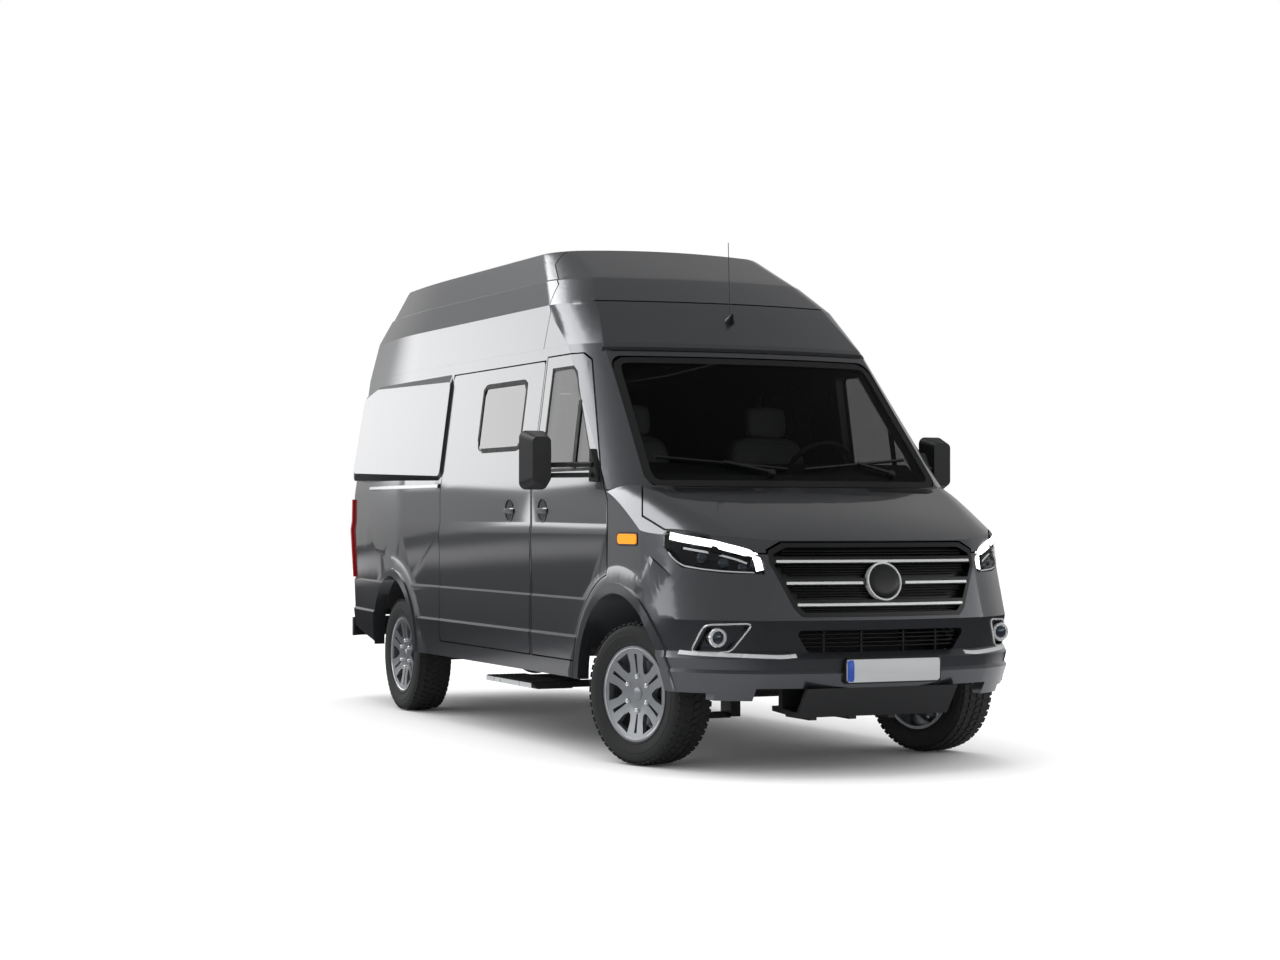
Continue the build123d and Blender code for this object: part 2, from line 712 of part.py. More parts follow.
with BuildPart() as headlamps:
    add(thick_shell.part)
    add(lamp_body.part, mode=Mode.INTERSECT)
    add(bonnet_hole, mode=Mode.SUBTRACT)
    add(grille_cut, mode=Mode.SUBTRACT)
finish(headlamps, "headlamps")

bumper_mid_z = 432.0
bumper_mid_half = 643.0
bumper_corner_z = 406.0
bumper_corner_half = 800.0
bumper_zone = side_zone(bumper_outline, -1100, 1100)
with BuildPart() as fog_pockets:
    for sign in (-1, 1):
        add(front_zone([(sign * y, z) for y, z in fog_recess], 2400, 3000))
    add(panel_hull, mode=Mode.SUBTRACT)
with BuildPart() as front_bumper:
    add(thick_shell.part)
    add(bumper_zone, mode=Mode.INTERSECT)
    add(block(2000, 3000, -1100, 1100, 300, bonnet_lip_z - shut_gap), mode=Mode.INTERSECT)
    add(lamp_cut.part, mode=Mode.SUBTRACT)
    add(grille_cut, mode=Mode.SUBTRACT)
    add(front_zone(intake_outline, 2600, 3000, corner=20), mode=Mode.SUBTRACT)
    add(fog_pockets.part, mode=Mode.SUBTRACT)
    for sign in (-1, 1):
        with BuildSketch(Plane.YZ.offset(fog_lamp[1])):
            with Locations((sign * fog_lamp[3], fog_lamp[4])):
                Circle(fog_lamp[0])
        extrude(amount=fog_lamp[2] - fog_lamp[1])
        near, far = sorted((sign * bumper_corner_half, sign * 1100.0))
        add(block(2000, 3000, near, far, 300, bumper_corner_z), mode=Mode.SUBTRACT)
    add(
        block(2000, 3000, -bumper_mid_half, bumper_mid_half, 300, bumper_mid_z),
        mode=Mode.SUBTRACT,
    )
    add(arch_front_cut, mode=Mode.SUBTRACT)
finish(front_bumper, "front_bumper")

with BuildPart() as wing_zone:
    add(block(wing_x + seat_gap, 3000, -1100, 1100, sill_z, cowl_z - seat_gap))
    for sign in (-1, 1):
        near, far = sorted((sign * (wing_seam_half + seat_gap), sign * 1100.0))
        add(block(wing_x + seat_gap, 2300, near, far, cowl_z - 20, wing_seam_z - seat_gap))
    add(across(arch_lip - shut_gap, axle_front_x, arch_z, -1100, 1100))
    add(bumper_zone, mode=Mode.SUBTRACT)
with BuildPart() as liners:
    for sign in (-1, 1):
        near, far = sorted((sign * 505.0, sign * 1100.0))
        add(across(arch_radius + 14, axle_front_x, arch_z, near, far))
    add(outside, mode=Mode.INTERSECT)
    add(block(1000, 2500, -1100, 1100, 600, 1200), mode=Mode.INTERSECT)
    add(bumper_zone, mode=Mode.SUBTRACT)
with BuildPart() as front_wings:
    add(thin_shell.part)
    add(wing_zone.part, mode=Mode.INTERSECT)
    add(bonnet_hole, mode=Mode.SUBTRACT)
    add(
        block(wing_x - 100, 2300, -wing_seam_half, wing_seam_half, 300, 1600),
        mode=Mode.SUBTRACT,
    )
    add(lamp_cut.part, mode=Mode.SUBTRACT)
    add(block(1000, 3000, -1100, 1100, 300, sill_z), mode=Mode.SUBTRACT)
    add(liners.part)
    add(arch_front_cut, mode=Mode.SUBTRACT)
finish(front_wings, "front_wings")

with BuildPart() as grille_windows:
    add(front_zone(grown(grille_outline, -grille_frame), 2600, 3000, corner=14))
    for low, high in grille_bars:
        add(block(2600, 3000, -600, 600, low, high), mode=Mode.SUBTRACT)
    with BuildSketch(Plane.YZ.offset(2600)):
        with Locations((0, sensor_cover[1])):
            Circle(sensor_cover[0])
    extrude(amount=400, mode=Mode.SUBTRACT)
    add(nose_hull(grille_depth), mode=Mode.SUBTRACT)
with BuildPart() as grille:
    add(thick_shell.part)
    add(front_zone(grown(grille_outline, -seat_gap), 2600, 3000, corner=20), mode=Mode.INTERSECT)
    add(grille_windows.part, mode=Mode.SUBTRACT)
finish(grille, "grille")

# ------------------------------------------------------------------ floor, frame and wheel houses
frame_half = 430.0
frame_width = 70.0
frame_bottom_z = 505.0
frame_rear_x = -2838.0
wheel_house_inner = 600.0
house_skin = 14.0
floor_bottom_z = floor_top_z - floor_thick
with BuildPart() as floor_slab:
    add(block(-2880, firewall_x, -1100, 1100, floor_bottom_z, floor_top_z))
    for sign in (-1, 1):
        near, far = sorted((sign * wheel_house_inner, sign * 1100.0))
        add(across(arch_radius + house_skin, axle_rear_x, arch_z, near, far))
    add(body_hull(wall + seat_gap), mode=Mode.INTERSECT)
    add(block(rear_tip, 2700, -1100, 1100, 0, floor_bottom_z), mode=Mode.SUBTRACT)
    for sign in (-1, 1):
        near, far = sorted((sign * (wheel_house_inner + house_skin), sign * 1100.0))
        add(across(arch_radius, axle_rear_x, arch_z, near, far), mode=Mode.SUBTRACT)
        near, far = sorted((sign * 500.0, sign * 1100.0))
        add(across(arch_lip, axle_front_x, arch_z, near, far), mode=Mode.SUBTRACT)
load_board = (-2780.0, 640.0, 590.0, 4.0)
step_x = (-90.0, 630.0)
step_y = (-950.0, -700.0)
step_z = (292.0, 330.0)
step_arm_x = (0.0, 540.0)
cross_member_x = (-2700.0, -1000.0, 250.0, 1100.0, 2620.0)
with BuildPart() as floor_pan:
    add(floor_slab.part)
    board_from, board_to, board_half, board_thick = load_board
    add(
        block(
            board_from, board_to, -board_half, board_half, floor_top_z, floor_top_z + board_thick
        )
    )
    for sign in (-1, 1):
        near, far = sorted(
            (sign * (frame_half - frame_width / 2), sign * (frame_half + frame_width / 2))
        )
        add(block(frame_rear_x, 2700, near, far, frame_bottom_z, floor_bottom_z))
    for x in cross_member_x:
        add(block(x - 30, x + 30, -frame_half, frame_half, 560, floor_bottom_z))
    with BuildSketch(Plane.YZ.offset(step_x[0])) as step_section:
        with BuildLine():
            Polyline(
                (step_y[0], step_z[1]), (step_y[1], step_z[1]), (step_y[1], step_z[0]),
                (step_y[0] + 40, step_z[0]), close=True,
            )
        make_face()
    extrude(amount=step_x[1] - step_x[0])
    for x in step_arm_x:
        add(block(x - 22, x + 22, step_y[1], -frame_half + 30, step_z[0], step_z[1]))
        add(block(x - 22, x + 22, -frame_half - 30, -frame_half + 30, step_z[0], frame_bottom_z))
finish(floor_pan, "floor_pan")

# ------------------------------------------------------------------ side bulges
bulge_half = 1007.0
bulge_level = 1490.0
bulge_lean = math.radians(7.45)
bulge_edge = 15.0
bulge_root = 170.0
bulge_face = [
    (-790.0, 1506.0), (-790.0, 2085.0), (-2250.0, 2108.0), (-2520.0, 2048.0), (-2575.0, 1550.0),
]
bulge_foot = [
    (-790.0, 1480.0), (-790.0, 2135.0), (-2240.0, 2128.0), (-2555.0, 2065.0), (-2612.0, 1502.0),
]


def on_bulge(points):
    """Side-view outline (x, z) as distances along and up the leaning face of the bulge."""
    return [(-x, (z - bulge_level) / math.cos(bulge_lean)) for x, z in points]


bulge_plane = Plane(
    origin=(0, bulge_half, bulge_level), x_dir=(-1, 0, 0),
    z_dir=(0, math.cos(bulge_lean), math.sin(bulge_lean)),
)
with BuildPart() as bulge:
    with BuildSketch(bulge_plane.offset(-bulge_edge)) as foot_outline:
        with BuildLine():
            Polyline(*on_bulge(bulge_foot), close=True)
        make_face()
        fillet(foot_outline.vertices(), 50)
    with BuildSketch(bulge_plane) as face_outline:
        with BuildLine():
            Polyline(*on_bulge(bulge_face), close=True)
        make_face()
        fillet(face_outline.vertices(), 40)
    loft()
    with BuildSketch(bulge_plane.offset(-bulge_edge)) as root_outline:
        with BuildLine():
            Polyline(*on_bulge(bulge_foot), close=True)
        make_face()
        fillet(root_outline.vertices(), 50)
    extrude(amount=-bulge_root)
    add(cabin_clear, mode=Mode.SUBTRACT)
with BuildPart() as side_bulges:
    add(bulge.part)
    mirror(bulge.part, about=Plane.XZ)
finish(side_bulges, "side_bulges")

# ------------------------------------------------------------------ lower ends
skid_top = bumper_mid_z - seat_gap
with BuildPart() as skid_plate:
    with BuildSketch(Plane.XZ.offset(-420.0)) as section:
        with BuildLine():
            Polyline(
                (2530, 300), (2800, 285), (2905, skid_top), (2877, skid_top), (2790, 310),
                (2530, 325), close=True,
            )
        make_face()
    extrude(amount=840)
    for y in (-330, -110, 110, 330):
        add(block(2540, 2790, y - 20, y + 20, 270, 312))
    add(block(2600, 2640, -420, 420, 310, frame_bottom_z - seat_gap))
finish(skid_plate, "skid_plate")

with BuildPart() as rear_bumper:
    with BuildSketch(Plane.XY.offset(430.0)):
        with BuildLine():
            Line((-2850, -905), (-2850, 905))
            Line((-2850, 905), (-2880, 905))
            ThreePointArc((-2880, 905), (-2935, 880), (rear_tip, 800))
            Line((rear_tip, 800), (rear_tip, -800))
            ThreePointArc((rear_tip, -800), (-2935, -880), (-2880, -905))
            Line((-2880, -905), (-2850, -905))
        make_face()
    extrude(amount=125)
    add(cabin_clear, mode=Mode.SUBTRACT)
finish(rear_bumper, "rear_bumper")

with BuildPart() as rear_lamps:
    add(cabin_hull(-14))
    add(cabin_clear, mode=Mode.SUBTRACT)
    add(block(rear_tip, -2850, -1000, 1000, 838, 1374), mode=Mode.INTERSECT)
    add(block(rear_tip, -2700, -850, 850, 800, 1400), mode=Mode.SUBTRACT)
finish(rear_lamps, "rear_lamps")

# ------------------------------------------------------------------ arch lips and sliding-door rail
rail_x = (-2293.0, -795.0)
rail_z = (1432.0, 1457.0)
with BuildPart() as trim_zone:
    for axle_x in (axle_front_x, axle_rear_x):
        add(across(arch_radius + lip_width, axle_x, arch_z, -1100, 1100))
    add(block(-3000, 3000, -1100, 1100, 300, sill_z + 6), mode=Mode.SUBTRACT)
    add(block(-3000, -2000, -1100, 1100, 300, 440), mode=Mode.SUBTRACT)
    add(block(rail_x[0], rail_x[1], -1100, -900, rail_z[0], rail_z[1]))
    add(arch_front_cut, mode=Mode.SUBTRACT)
    add(arch_rear_cut, mode=Mode.SUBTRACT)
with BuildPart() as exterior_trim:
    add(body_hull(-10))
    add(skin_clear, mode=Mode.SUBTRACT)
    add(trim_zone.part, mode=Mode.INTERSECT)
finish(exterior_trim, "exterior_trim")

# ------------------------------------------------------------------ wheels
bead_half = tyre_width * 0.4
tread_half = tyre_width * 0.38
shoulder_half = tyre_width * 0.46
shoulder_drop = 14.0
stub_reach = 32.0
mount_face = 40.0
disc_radius = 165.0
spoke_count = 6
# Windows of the wheel disc as radius and half width: wide between spokes, narrow within one.
spoke_gap = ((118.0, 9.0), (150.0, 30.0), (206.0, 47.0))
spoke_slot = ((102.0, 5.0), (200.0, 10.0))


def window_outline(rows, around):
    """Outline of a window of the wheel disc, turned by the angle around."""
    flat = [(r, -half) for r, half in rows] + [(r, half) for r, half in reversed(rows)]
    return [
        (r * math.cos(around) - w * math.sin(around), r * math.sin(around) + w * math.cos(around))
        for r, w in flat
    ]


corners = (
    ("front_left", axle_front_x, 1, front_track_half, steer_angle),
    ("front_right", axle_front_x, -1, front_track_half, steer_angle),
    ("rear_left", axle_rear_x, 1, rear_track_half, 0.0),
    ("rear_right", axle_rear_x, -1, rear_track_half, 0.0),
)
for name, axle_x, sign, track_half, steer in corners:
    turn = math.radians(steer)
    outward = Vector(-sign * math.sin(turn), sign * math.cos(turn), 0)
    pivot = Vector(axle_x, sign * kingpin_half, hub_height)
    hub = pivot + outward * (track_half - kingpin_half)
    profile_plane = Plane(origin=hub, x_dir=outward, z_dir=outward.cross(Vector(0, 0, 1)))
    face_plane = Plane(origin=hub, x_dir=outward.cross(Vector(0, 0, 1)), z_dir=outward)
    spin = Axis(hub, outward)

    with BuildPart() as tyre:
        with BuildSketch(profile_plane):
            with BuildLine():
                Line((-bead_half, rim_radius), (bead_half, rim_radius))
                Line((bead_half, rim_radius), (bead_half, rim_radius + 12))
                ThreePointArc(
                    (bead_half, rim_radius + 12), (tyre_width / 2, 300),
                    (shoulder_half, tyre_radius - shoulder_drop),
                )
                Line((shoulder_half, tyre_radius - shoulder_drop), (tread_half, tyre_radius))
                Line((tread_half, tyre_radius), (-tread_half, tyre_radius))
                Line((-tread_half, tyre_radius), (-shoulder_half, tyre_radius - shoulder_drop))
                ThreePointArc(
                    (-shoulder_half, tyre_radius - shoulder_drop), (-tyre_width / 2, 300),
                    (-bead_half, rim_radius + 12),
                )
                Line((-bead_half, rim_radius + 12), (-bead_half, rim_radius))
            make_face()
        revolve(axis=spin)
    finish(tyre, f"tyre_{name}")

    with BuildPart() as rim:
        with BuildSketch(profile_plane):
            with BuildLine():
                Polyline(
                    (-bead_half - seat_gap, rim_radius + 9), (-bead_half - 9, rim_radius + 9),
                    (-bead_half - 9, rim_radius - 10), (70, rim_radius - 16), (92, rim_radius - 8),
                    (bead_half + 9, rim_radius - 4), (bead_half + 9, rim_radius + 9),
                    (bead_half + seat_gap, rim_radius + 9), (bead_half + seat_gap, rim_radius - seat_gap),
                    (-bead_half - seat_gap, rim_radius - seat_gap), close=True,
                )
            make_face()
            with BuildLine():
                Polyline(
                    (70, rim_radius - 10), (62, 150), (50, 85), (mount_face, 80), (mount_face, 34),
                    (78, 34), (78, 70), (88, 150), (100, rim_radius - 5), close=True,
                )
            make_face()
        revolve(axis=spin)
        with BuildSketch(face_plane.offset(30)):
            for spoke in range(spoke_count):
                for window, start in ((spoke_gap, 0.0), (spoke_slot, 180.0 / spoke_count)):
                    around = math.radians(start + 360.0 * spoke / spoke_count)
                    with BuildLine():
                        Polyline(*window_outline(window, around), close=True)
                    make_face()
        extrude(amount=90, mode=Mode.SUBTRACT)
        with BuildSketch(face_plane.offset(mount_face)):
            Circle(78)
            Circle(34, mode=Mode.SUBTRACT)
        extrude(amount=-30)
        with BuildSketch(face_plane.offset(mount_face - 30)):
            Circle(disc_radius)
            Circle(34, mode=Mode.SUBTRACT)
        extrude(amount=-26)
        with BuildSketch(face_plane.offset(68)):
            Circle(34)
        extrude(amount=12)
    finish(rim, f"rim_{name}")

    if axle_x == axle_front_x:
        with BuildPart() as knuckle:
            with BuildSketch(face_plane.offset(-105)):
                Circle(60)
            extrude(amount=83)
            with BuildSketch(Plane(origin=(pivot.X, pivot.Y, 215.0), z_dir=(0, 0, 1))):
                Circle(ball_joint_radius)
            extrude(amount=300)
            with BuildSketch(face_plane.offset(-48)):
                with BuildLine():
                    Polyline((-30, 40), (-180, 90), (-180, -90), (-30, -40), close=True)
                make_face()
            extrude(amount=64)
            with BuildSketch(face_plane.offset(-22)):
                Circle(disc_radius + 8)
            extrude(amount=60, mode=Mode.SUBTRACT)
            with BuildSketch(face_plane.offset(-22)):
                Circle(33.95)
            extrude(amount=84)
        finish(knuckle, f"knuckle_{name}")

# ------------------------------------------------------------------ axles
with BuildPart() as front_subframe:
    add(block(axle_front_x - 90, axle_front_x + 90, -395, 395, 330, 400))
    for sign in (-1, 1):
        near, far = sorted((sign * 340.0, sign * 395.0))
        add(block(axle_front_x - 60, axle_front_x + 60, near, far, 230, frame_bottom_z - seat_gap))
        near, far = sorted((sign * 380.0, sign * (kingpin_half - ball_joint_radius - seat_gap)))
        add(block(axle_front_x - 28, axle_front_x + 28, near, far, 222, 252))
        add(upright(42, axle_front_x, sign * 590.0, 240, 868))
    with BuildSketch(Plane.XZ.offset(-380.0)):
        with Locations((axle_front_x + 150, 380)):
            Circle(30)
    extrude(amount=760)
    add(block(axle_front_x + 60, axle_front_x + 160, -300, 300, 350, 390))
finish(front_subframe, "front_subframe")

spring_half = 535.0
spring_reach = 640.0
with BuildPart() as rear_axle:
    add(across(45, axle_rear_x, hub_height, 73 - rear_track_half, rear_track_half - 73))
    with Locations((axle_rear_x, 0, hub_height)):
        Sphere(150)
    add(
        across(
            33.95, axle_rear_x, hub_height, -rear_track_half - stub_reach,
            rear_track_half + stub_reach,
        )
    )
    for sign in (-1, 1):
        near, far = sorted((sign * (spring_half - 30), sign * (spring_half + 30)))
        front_eye = axle_rear_x + spring_reach
        rear_eye = axle_rear_x - spring_reach
        with BuildSketch(Plane.XZ.offset(-near)):
            with BuildLine():
                ThreePointArc((rear_eye, 565), (axle_rear_x, 395), (front_eye, 565))
                Line((front_eye, 565), (front_eye, 590))
                ThreePointArc((front_eye, 590), (axle_rear_x, 422), (rear_eye, 590))
                Line((rear_eye, 590), (rear_eye, 565))
            make_face()
        extrude(amount=-(far - near))
        for x in (front_eye, rear_eye):
            add(block(x - 35, x + 35, near, far, 560, floor_bottom_z - seat_gap))
finish(rear_axle, "rear_axle")

# ------------------------------------------------------------------ power train and tanks
with BuildPart() as engine:
    add(block(1980, 2540, -290, 290, 560, 1120))
    add(block(2200, 2270, -394.7, 394.7, 560, 620))
    add(block(1450, 1980, -190, 190, 400, 620))
    with BuildSketch(Plane.YZ.offset(axle_rear_x + 148)):
        with Locations((0, 430)):
            Circle(40)
    extrude(amount=1450 - axle_rear_x - 140)
finish(engine, "engine")

with BuildPart() as underbody_tanks:
    add(block(300, 1000, -385, -80, 420, floor_top_z - floor_thick - seat_gap))
    add(block(-900, -100, 480, 900, 430, floor_top_z - floor_thick - seat_gap))
finish(underbody_tanks, "underbody_tanks")

# ------------------------------------------------------------------ cab interior
wheel_centre = Vector(1440, 430, 1500)
column_drop = math.radians(32)
column = Vector(math.cos(column_drop), 0, -math.sin(column_drop))
column_start = 68.0
with BuildPart() as dashboard:
    with BuildSketch(Plane.XZ.offset(880.0)) as section:
        with BuildLine():
            Polyline(
                (firewall_x - seat_gap, 1000), (firewall_x - seat_gap, 1400), (1780, 1480),
                (1620, 1545), (1540, 1520), (1530, 1300), (1600, 1050), close=True,
            )
        make_face()
    extrude(amount=-1760)
    add(block(1540, 1839, -140, 140, 950, 1300))
    with BuildSketch(Plane(origin=wheel_centre + column * column_start, z_dir=column)):
        Circle(48)
    extrude(amount=180)
    add(cabin_hull(wall + 6), mode=Mode.INTERSECT)
    add(across(arch_lip + 10, axle_front_x, arch_z, -1100, 1100), mode=Mode.SUBTRACT)
finish(dashboard, "dashboard")

with BuildPart() as steering_wheel:
    rim_plane = Plane(origin=wheel_centre, x_dir=(0, 1, 0), z_dir=column)
    with BuildSketch(Plane(origin=wheel_centre, x_dir=(0, 1, 0), z_dir=Vector(0, 1, 0).cross(column))):
        with Locations((192, 0)):
            Circle(15)
    revolve(axis=Axis(wheel_centre, column))
    with BuildSketch(rim_plane.offset(5)):
        Circle(70)
        Rectangle(370, 40)
        with Locations((0, -90)):
            Rectangle(40, 180)
    extrude(amount=24)
    with BuildSketch(rim_plane.offset(29)):
        Circle(28)
    extrude(amount=column_start - 29 - seat_gap)
finish(steering_wheel, "steering_wheel")

seat_top_z = 1190.0
with BuildPart() as seats:
    for y in (-430, 430):
        add(block(800, 1250, y - 220, y + 220, floor_top_z + seat_gap, seat_top_z - 130))
        add(block(790, 1310, y - 255, y + 255, seat_top_z - 130, seat_top_z))
        with BuildSketch(Plane.XZ.offset(-y - 240)):
            with BuildLine():
                Polyline((790, seat_top_z - 30), (930, seat_top_z - 30), (850, 1720), (750, 1720),
                         close=True)
            make_face()
        extrude(amount=480)
        add(block(760, 840, y - 125, y + 125, 1700, 1890))
finish(seats, "seats")
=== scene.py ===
# %% [markdown]
# A camper van on pale studio floor. The metal, glass and running gear come in as
# finished solids, the "frame". This lesson dresses them: every surface gets the
# finish of its real material, and what is too fine for the solids, such as tyre
# tread, lamp insides, seals, upholstery and wipers, is made here as surfaces
# worked out with numpy.

import math

import bpy
import numpy as np
from mathutils import Matrix, Vector


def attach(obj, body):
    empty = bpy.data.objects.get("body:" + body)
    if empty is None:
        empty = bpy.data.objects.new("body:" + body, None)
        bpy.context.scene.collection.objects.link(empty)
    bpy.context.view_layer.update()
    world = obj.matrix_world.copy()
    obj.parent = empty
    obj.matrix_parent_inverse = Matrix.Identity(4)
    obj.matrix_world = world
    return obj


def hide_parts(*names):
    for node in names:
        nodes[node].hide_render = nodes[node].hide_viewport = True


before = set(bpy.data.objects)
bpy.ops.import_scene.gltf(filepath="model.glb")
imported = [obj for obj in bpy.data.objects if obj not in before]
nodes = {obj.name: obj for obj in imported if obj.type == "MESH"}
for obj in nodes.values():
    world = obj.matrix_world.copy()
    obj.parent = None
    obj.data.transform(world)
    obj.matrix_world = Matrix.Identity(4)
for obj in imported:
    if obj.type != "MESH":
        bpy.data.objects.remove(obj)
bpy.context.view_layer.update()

# %% [markdown]
# Colours are written as the hex values a screen shows. Blender works in linear
# light, so one function turns them. Materials are trees of nodes: one small
# helper adds a node with its settings and its links, which keeps each recipe
# short enough to read in one go.

# %% Colour and node helpers


def hex_linear(code, alpha=1.0):
    """Linear RGBA of an sRGB hex colour: each channel c becomes ((c + 0.055) / 1.055) ** 2.4."""
    channels = [int(code[i:i + 2], 16) / 255 for i in (1, 3, 5)]
    linear = [c / 12.92 if c <= 0.04045 else ((c + 0.055) / 1.055) ** 2.4 for c in channels]
    return (*linear, alpha)


def node(tree, kind, settings=None, links=None, **attributes):
    """Add a node: settings are input values, links are input name -> output socket."""
    made = tree.nodes.new(kind)
    for key, value in attributes.items():
        setattr(made, key, value)
    for key, value in (settings or {}).items():
        made.inputs[key].default_value = value
    for key, source in (links or {}).items():
        tree.links.new(source, made.inputs[key])
    return made


def new_material(name):
    """Empty node material with its output; returns the material, its tree and the output node."""
    material = bpy.data.materials.new(name)
    material.use_nodes = True
    tree = material.node_tree
    tree.nodes.clear()
    output = tree.nodes.new("ShaderNodeOutputMaterial")
    return material, tree, output


MM = 0.001

# %% [markdown]
# Metallic two-coat paint is flakes of aluminium in a dark base under clear
# lacquer. The flakes make it lighter where it faces the light and darker at a
# slant; the lacquer gives a sharp second reflection. A fine noise stirs the
# flakes' brightness. Real flakes are 0.02 mm wide, drawn here 1.5 mm wide so
# that they show at all. A plain glossy grey would look like plastic, and an
# image of paint would need laying out on each panel; a noise in the object's
# own space needs no layout. The cast wheels wear the same lacquer in silver.

# %% Metallic lacquer


def metallic_paint(name, base, flake, roughness, coat=1.0, metallic=0.88):
    """Two-coat metallic lacquer: base and flake colours stirred by a noise 1.5 mm wide."""
    material, tree, output = new_material(name)
    place = node(tree, "ShaderNodeTexCoord")
    flakes = node(tree, "ShaderNodeTexNoise", {"Scale": 1 / (1.5 * MM), "Detail": 1.0},
                  {"Vector": place.outputs["Object"]})
    tone = node(tree, "ShaderNodeMapRange",
                {"From Min": 0.3, "From Max": 0.7, "To Min": 0.0, "To Max": 1.0},
                {"Value": flakes.outputs["Fac"]})
    colour = node(tree, "ShaderNodeMix", {6: hex_linear(base), 7: hex_linear(flake)},
                  {0: tone.outputs["Result"]}, data_type="RGBA")
    shader = node(tree, "ShaderNodeBsdfPrincipled",
                  {"Metallic": metallic, "Roughness": roughness, "Coat Weight": coat,
                   "Coat Roughness": 0.04, "Coat IOR": 1.5},
                  {"Base Color": colour.outputs[2]})
    tree.links.new(shader.outputs[0], output.inputs["Surface"])
    return material


# Sprayed body panels: a deep grey that brightens softly, with a sharp gloss on top.
paint_grey = metallic_paint("metallic_two_coat_paint_dark_grey", "#4d4f53", "#5e6064", 0.3)
# Cast aluminium wheels, lacquered: a matt silver with a thin gloss.
alloy_silver = metallic_paint("cast_aluminium_silver_lacquer", "#85888c", "#95989c", 0.34, 0.5, 0.8)
print("lacquers:", paint_grey.name, alloy_silver.name)

# %% [markdown]
# Unpainted outer parts are polypropylene moulded with a fine leather-like
# grain: nearly black, dull, with a soft broken highlight. The same recipe, a
# cell pattern for the grain and a wide cloud for its wear, makes rubber, cast
# iron and sprayed coatings: only the grain's size and depth change. Cut into
# the mesh, a 1 mm grain would cost millions of triangles, so it is a bump.
# Grains are drawn about twice as coarse as real ones so that they show.

# %% Grained plastics, rubber and coatings


def moulded_plastic(name, base, roughness, grain_mm, depth=0.15):
    """Grained surface: height is the distance to the nearest of cells grain_mm wide, and
    roughness runs 0.06 up and down with a cloud 180 mm wide."""
    material, tree, output = new_material(name)
    place = node(tree, "ShaderNodeTexCoord")
    grain = node(tree, "ShaderNodeTexVoronoi", {"Scale": 1 / (grain_mm * MM)},
                 {"Vector": place.outputs["Object"]})
    cloud = node(tree, "ShaderNodeTexNoise", {"Scale": 1 / (180 * MM), "Detail": 3.0},
                 {"Vector": place.outputs["Object"]})
    tone = node(tree, "ShaderNodeMapRange",
                {"To Min": roughness - 0.06, "To Max": roughness + 0.06},
                {"Value": cloud.outputs["Fac"]})
    bump = node(tree, "ShaderNodeBump", {"Strength": depth, "Distance": 0.25 * MM},
                {"Height": grain.outputs["Distance"]})
    shader = node(tree, "ShaderNodeBsdfPrincipled",
                  {"Base Color": hex_linear(base), "IOR": 1.49},
                  {"Roughness": tone.outputs["Result"], "Normal": bump.outputs["Normal"]})
    tree.links.new(shader.outputs[0], output.inputs["Surface"])
    return material


# Moulded polypropylene, grained: black bumpers and mirrors with a soft, broken shine.
black_grained = moulded_plastic("moulded_polypropylene_black", "#17181a", 0.5, 1.2)
# Moulded ABS, nearly smooth: the grille and small fittings, a little glossier.
black_satin = moulded_plastic("moulded_abs_satin_black", "#111214", 0.32, 0.8, 0.05)
# Vulcanised rubber: dull charcoal that hardly shines.
tyre_rubber = moulded_plastic("vulcanised_rubber_tyre", "#1b1c1d", 0.7, 2.0, 0.3)
# Sand-cast iron: rough and dark, for the knuckles, engine and brake discs.
cast_iron = moulded_plastic("sand_cast_iron_dark", "#262627", 0.6, 2.5, 0.4)
# Brushed-on wax over steel: a lumpy black film on the subframe and axle.
chassis_coat = moulded_plastic("black_chassis_wax", "#111111", 0.5, 3.0, 0.2)
# Sprayed underseal: a coarse orange-peel coat under the floor.
underseal = moulded_plastic("sprayed_underseal_grey", "#161718", 0.7, 4.0, 0.5)
# Coated leather: dark grey with pores, for the seats' covers.
seat_leather = moulded_plastic("coated_leather_seat_bolster", "#4a4b4f", 0.5, 2.2, 0.35)
print("grained finishes:", len(bpy.data.materials))

# %% [markdown]
# Glass, plate, lenses and reflective sheet are smooth. What they have is a
# wiped film that is never quite even, so a soft cloud moves their roughness.
# Tinted float glass is black with part of the light let through; the camper
# windows are dark acrylic that lets through almost none. Real refraction would
# hardly bend the view in such thin panes, and Alpha is quicker and free of
# noise. Chromium plate on plastic is a mirror with hardly any colour.

# %% Glass, lamps and bright trim


def plain_finish(name, base, roughness, metallic=0.0, alpha=1.0, glow=0.0, ior=1.5,
                 specular=0.5, wear_mm=60.0):
    """Smooth finish of plate, float glass, lens or lamp.

    Roughness is roughness * (0.7 + 0.6 * cloud), where cloud is a noise wear_mm
    wide: the wiped, slightly uneven film that lies on any smooth surface.
    """
    material, tree, output = new_material(name)
    place = node(tree, "ShaderNodeTexCoord")
    cloud = node(tree, "ShaderNodeTexNoise", {"Scale": 1 / (wear_mm * MM), "Detail": 4.0},
                 {"Vector": place.outputs["Object"]})
    film = node(tree, "ShaderNodeMapRange", {"To Min": 0.7 * roughness, "To Max": 1.3 * roughness},
                {"Value": cloud.outputs["Fac"]})
    shader = node(tree, "ShaderNodeBsdfPrincipled",
                  {"Base Color": hex_linear(base), "Metallic": metallic, "IOR": ior,
                   "Alpha": alpha, "Specular IOR Level": specular,
                   "Emission Color": hex_linear(base), "Emission Strength": glow},
                  {"Roughness": film.outputs["Result"]})
    tree.links.new(shader.outputs[0], output.inputs["Surface"])
    return material


# Extruded rubber around the glass: a soft black line without shine.
rubber_seal = plain_finish("extruded_epdm_rubber_seal", "#0c0d0e", 0.55)
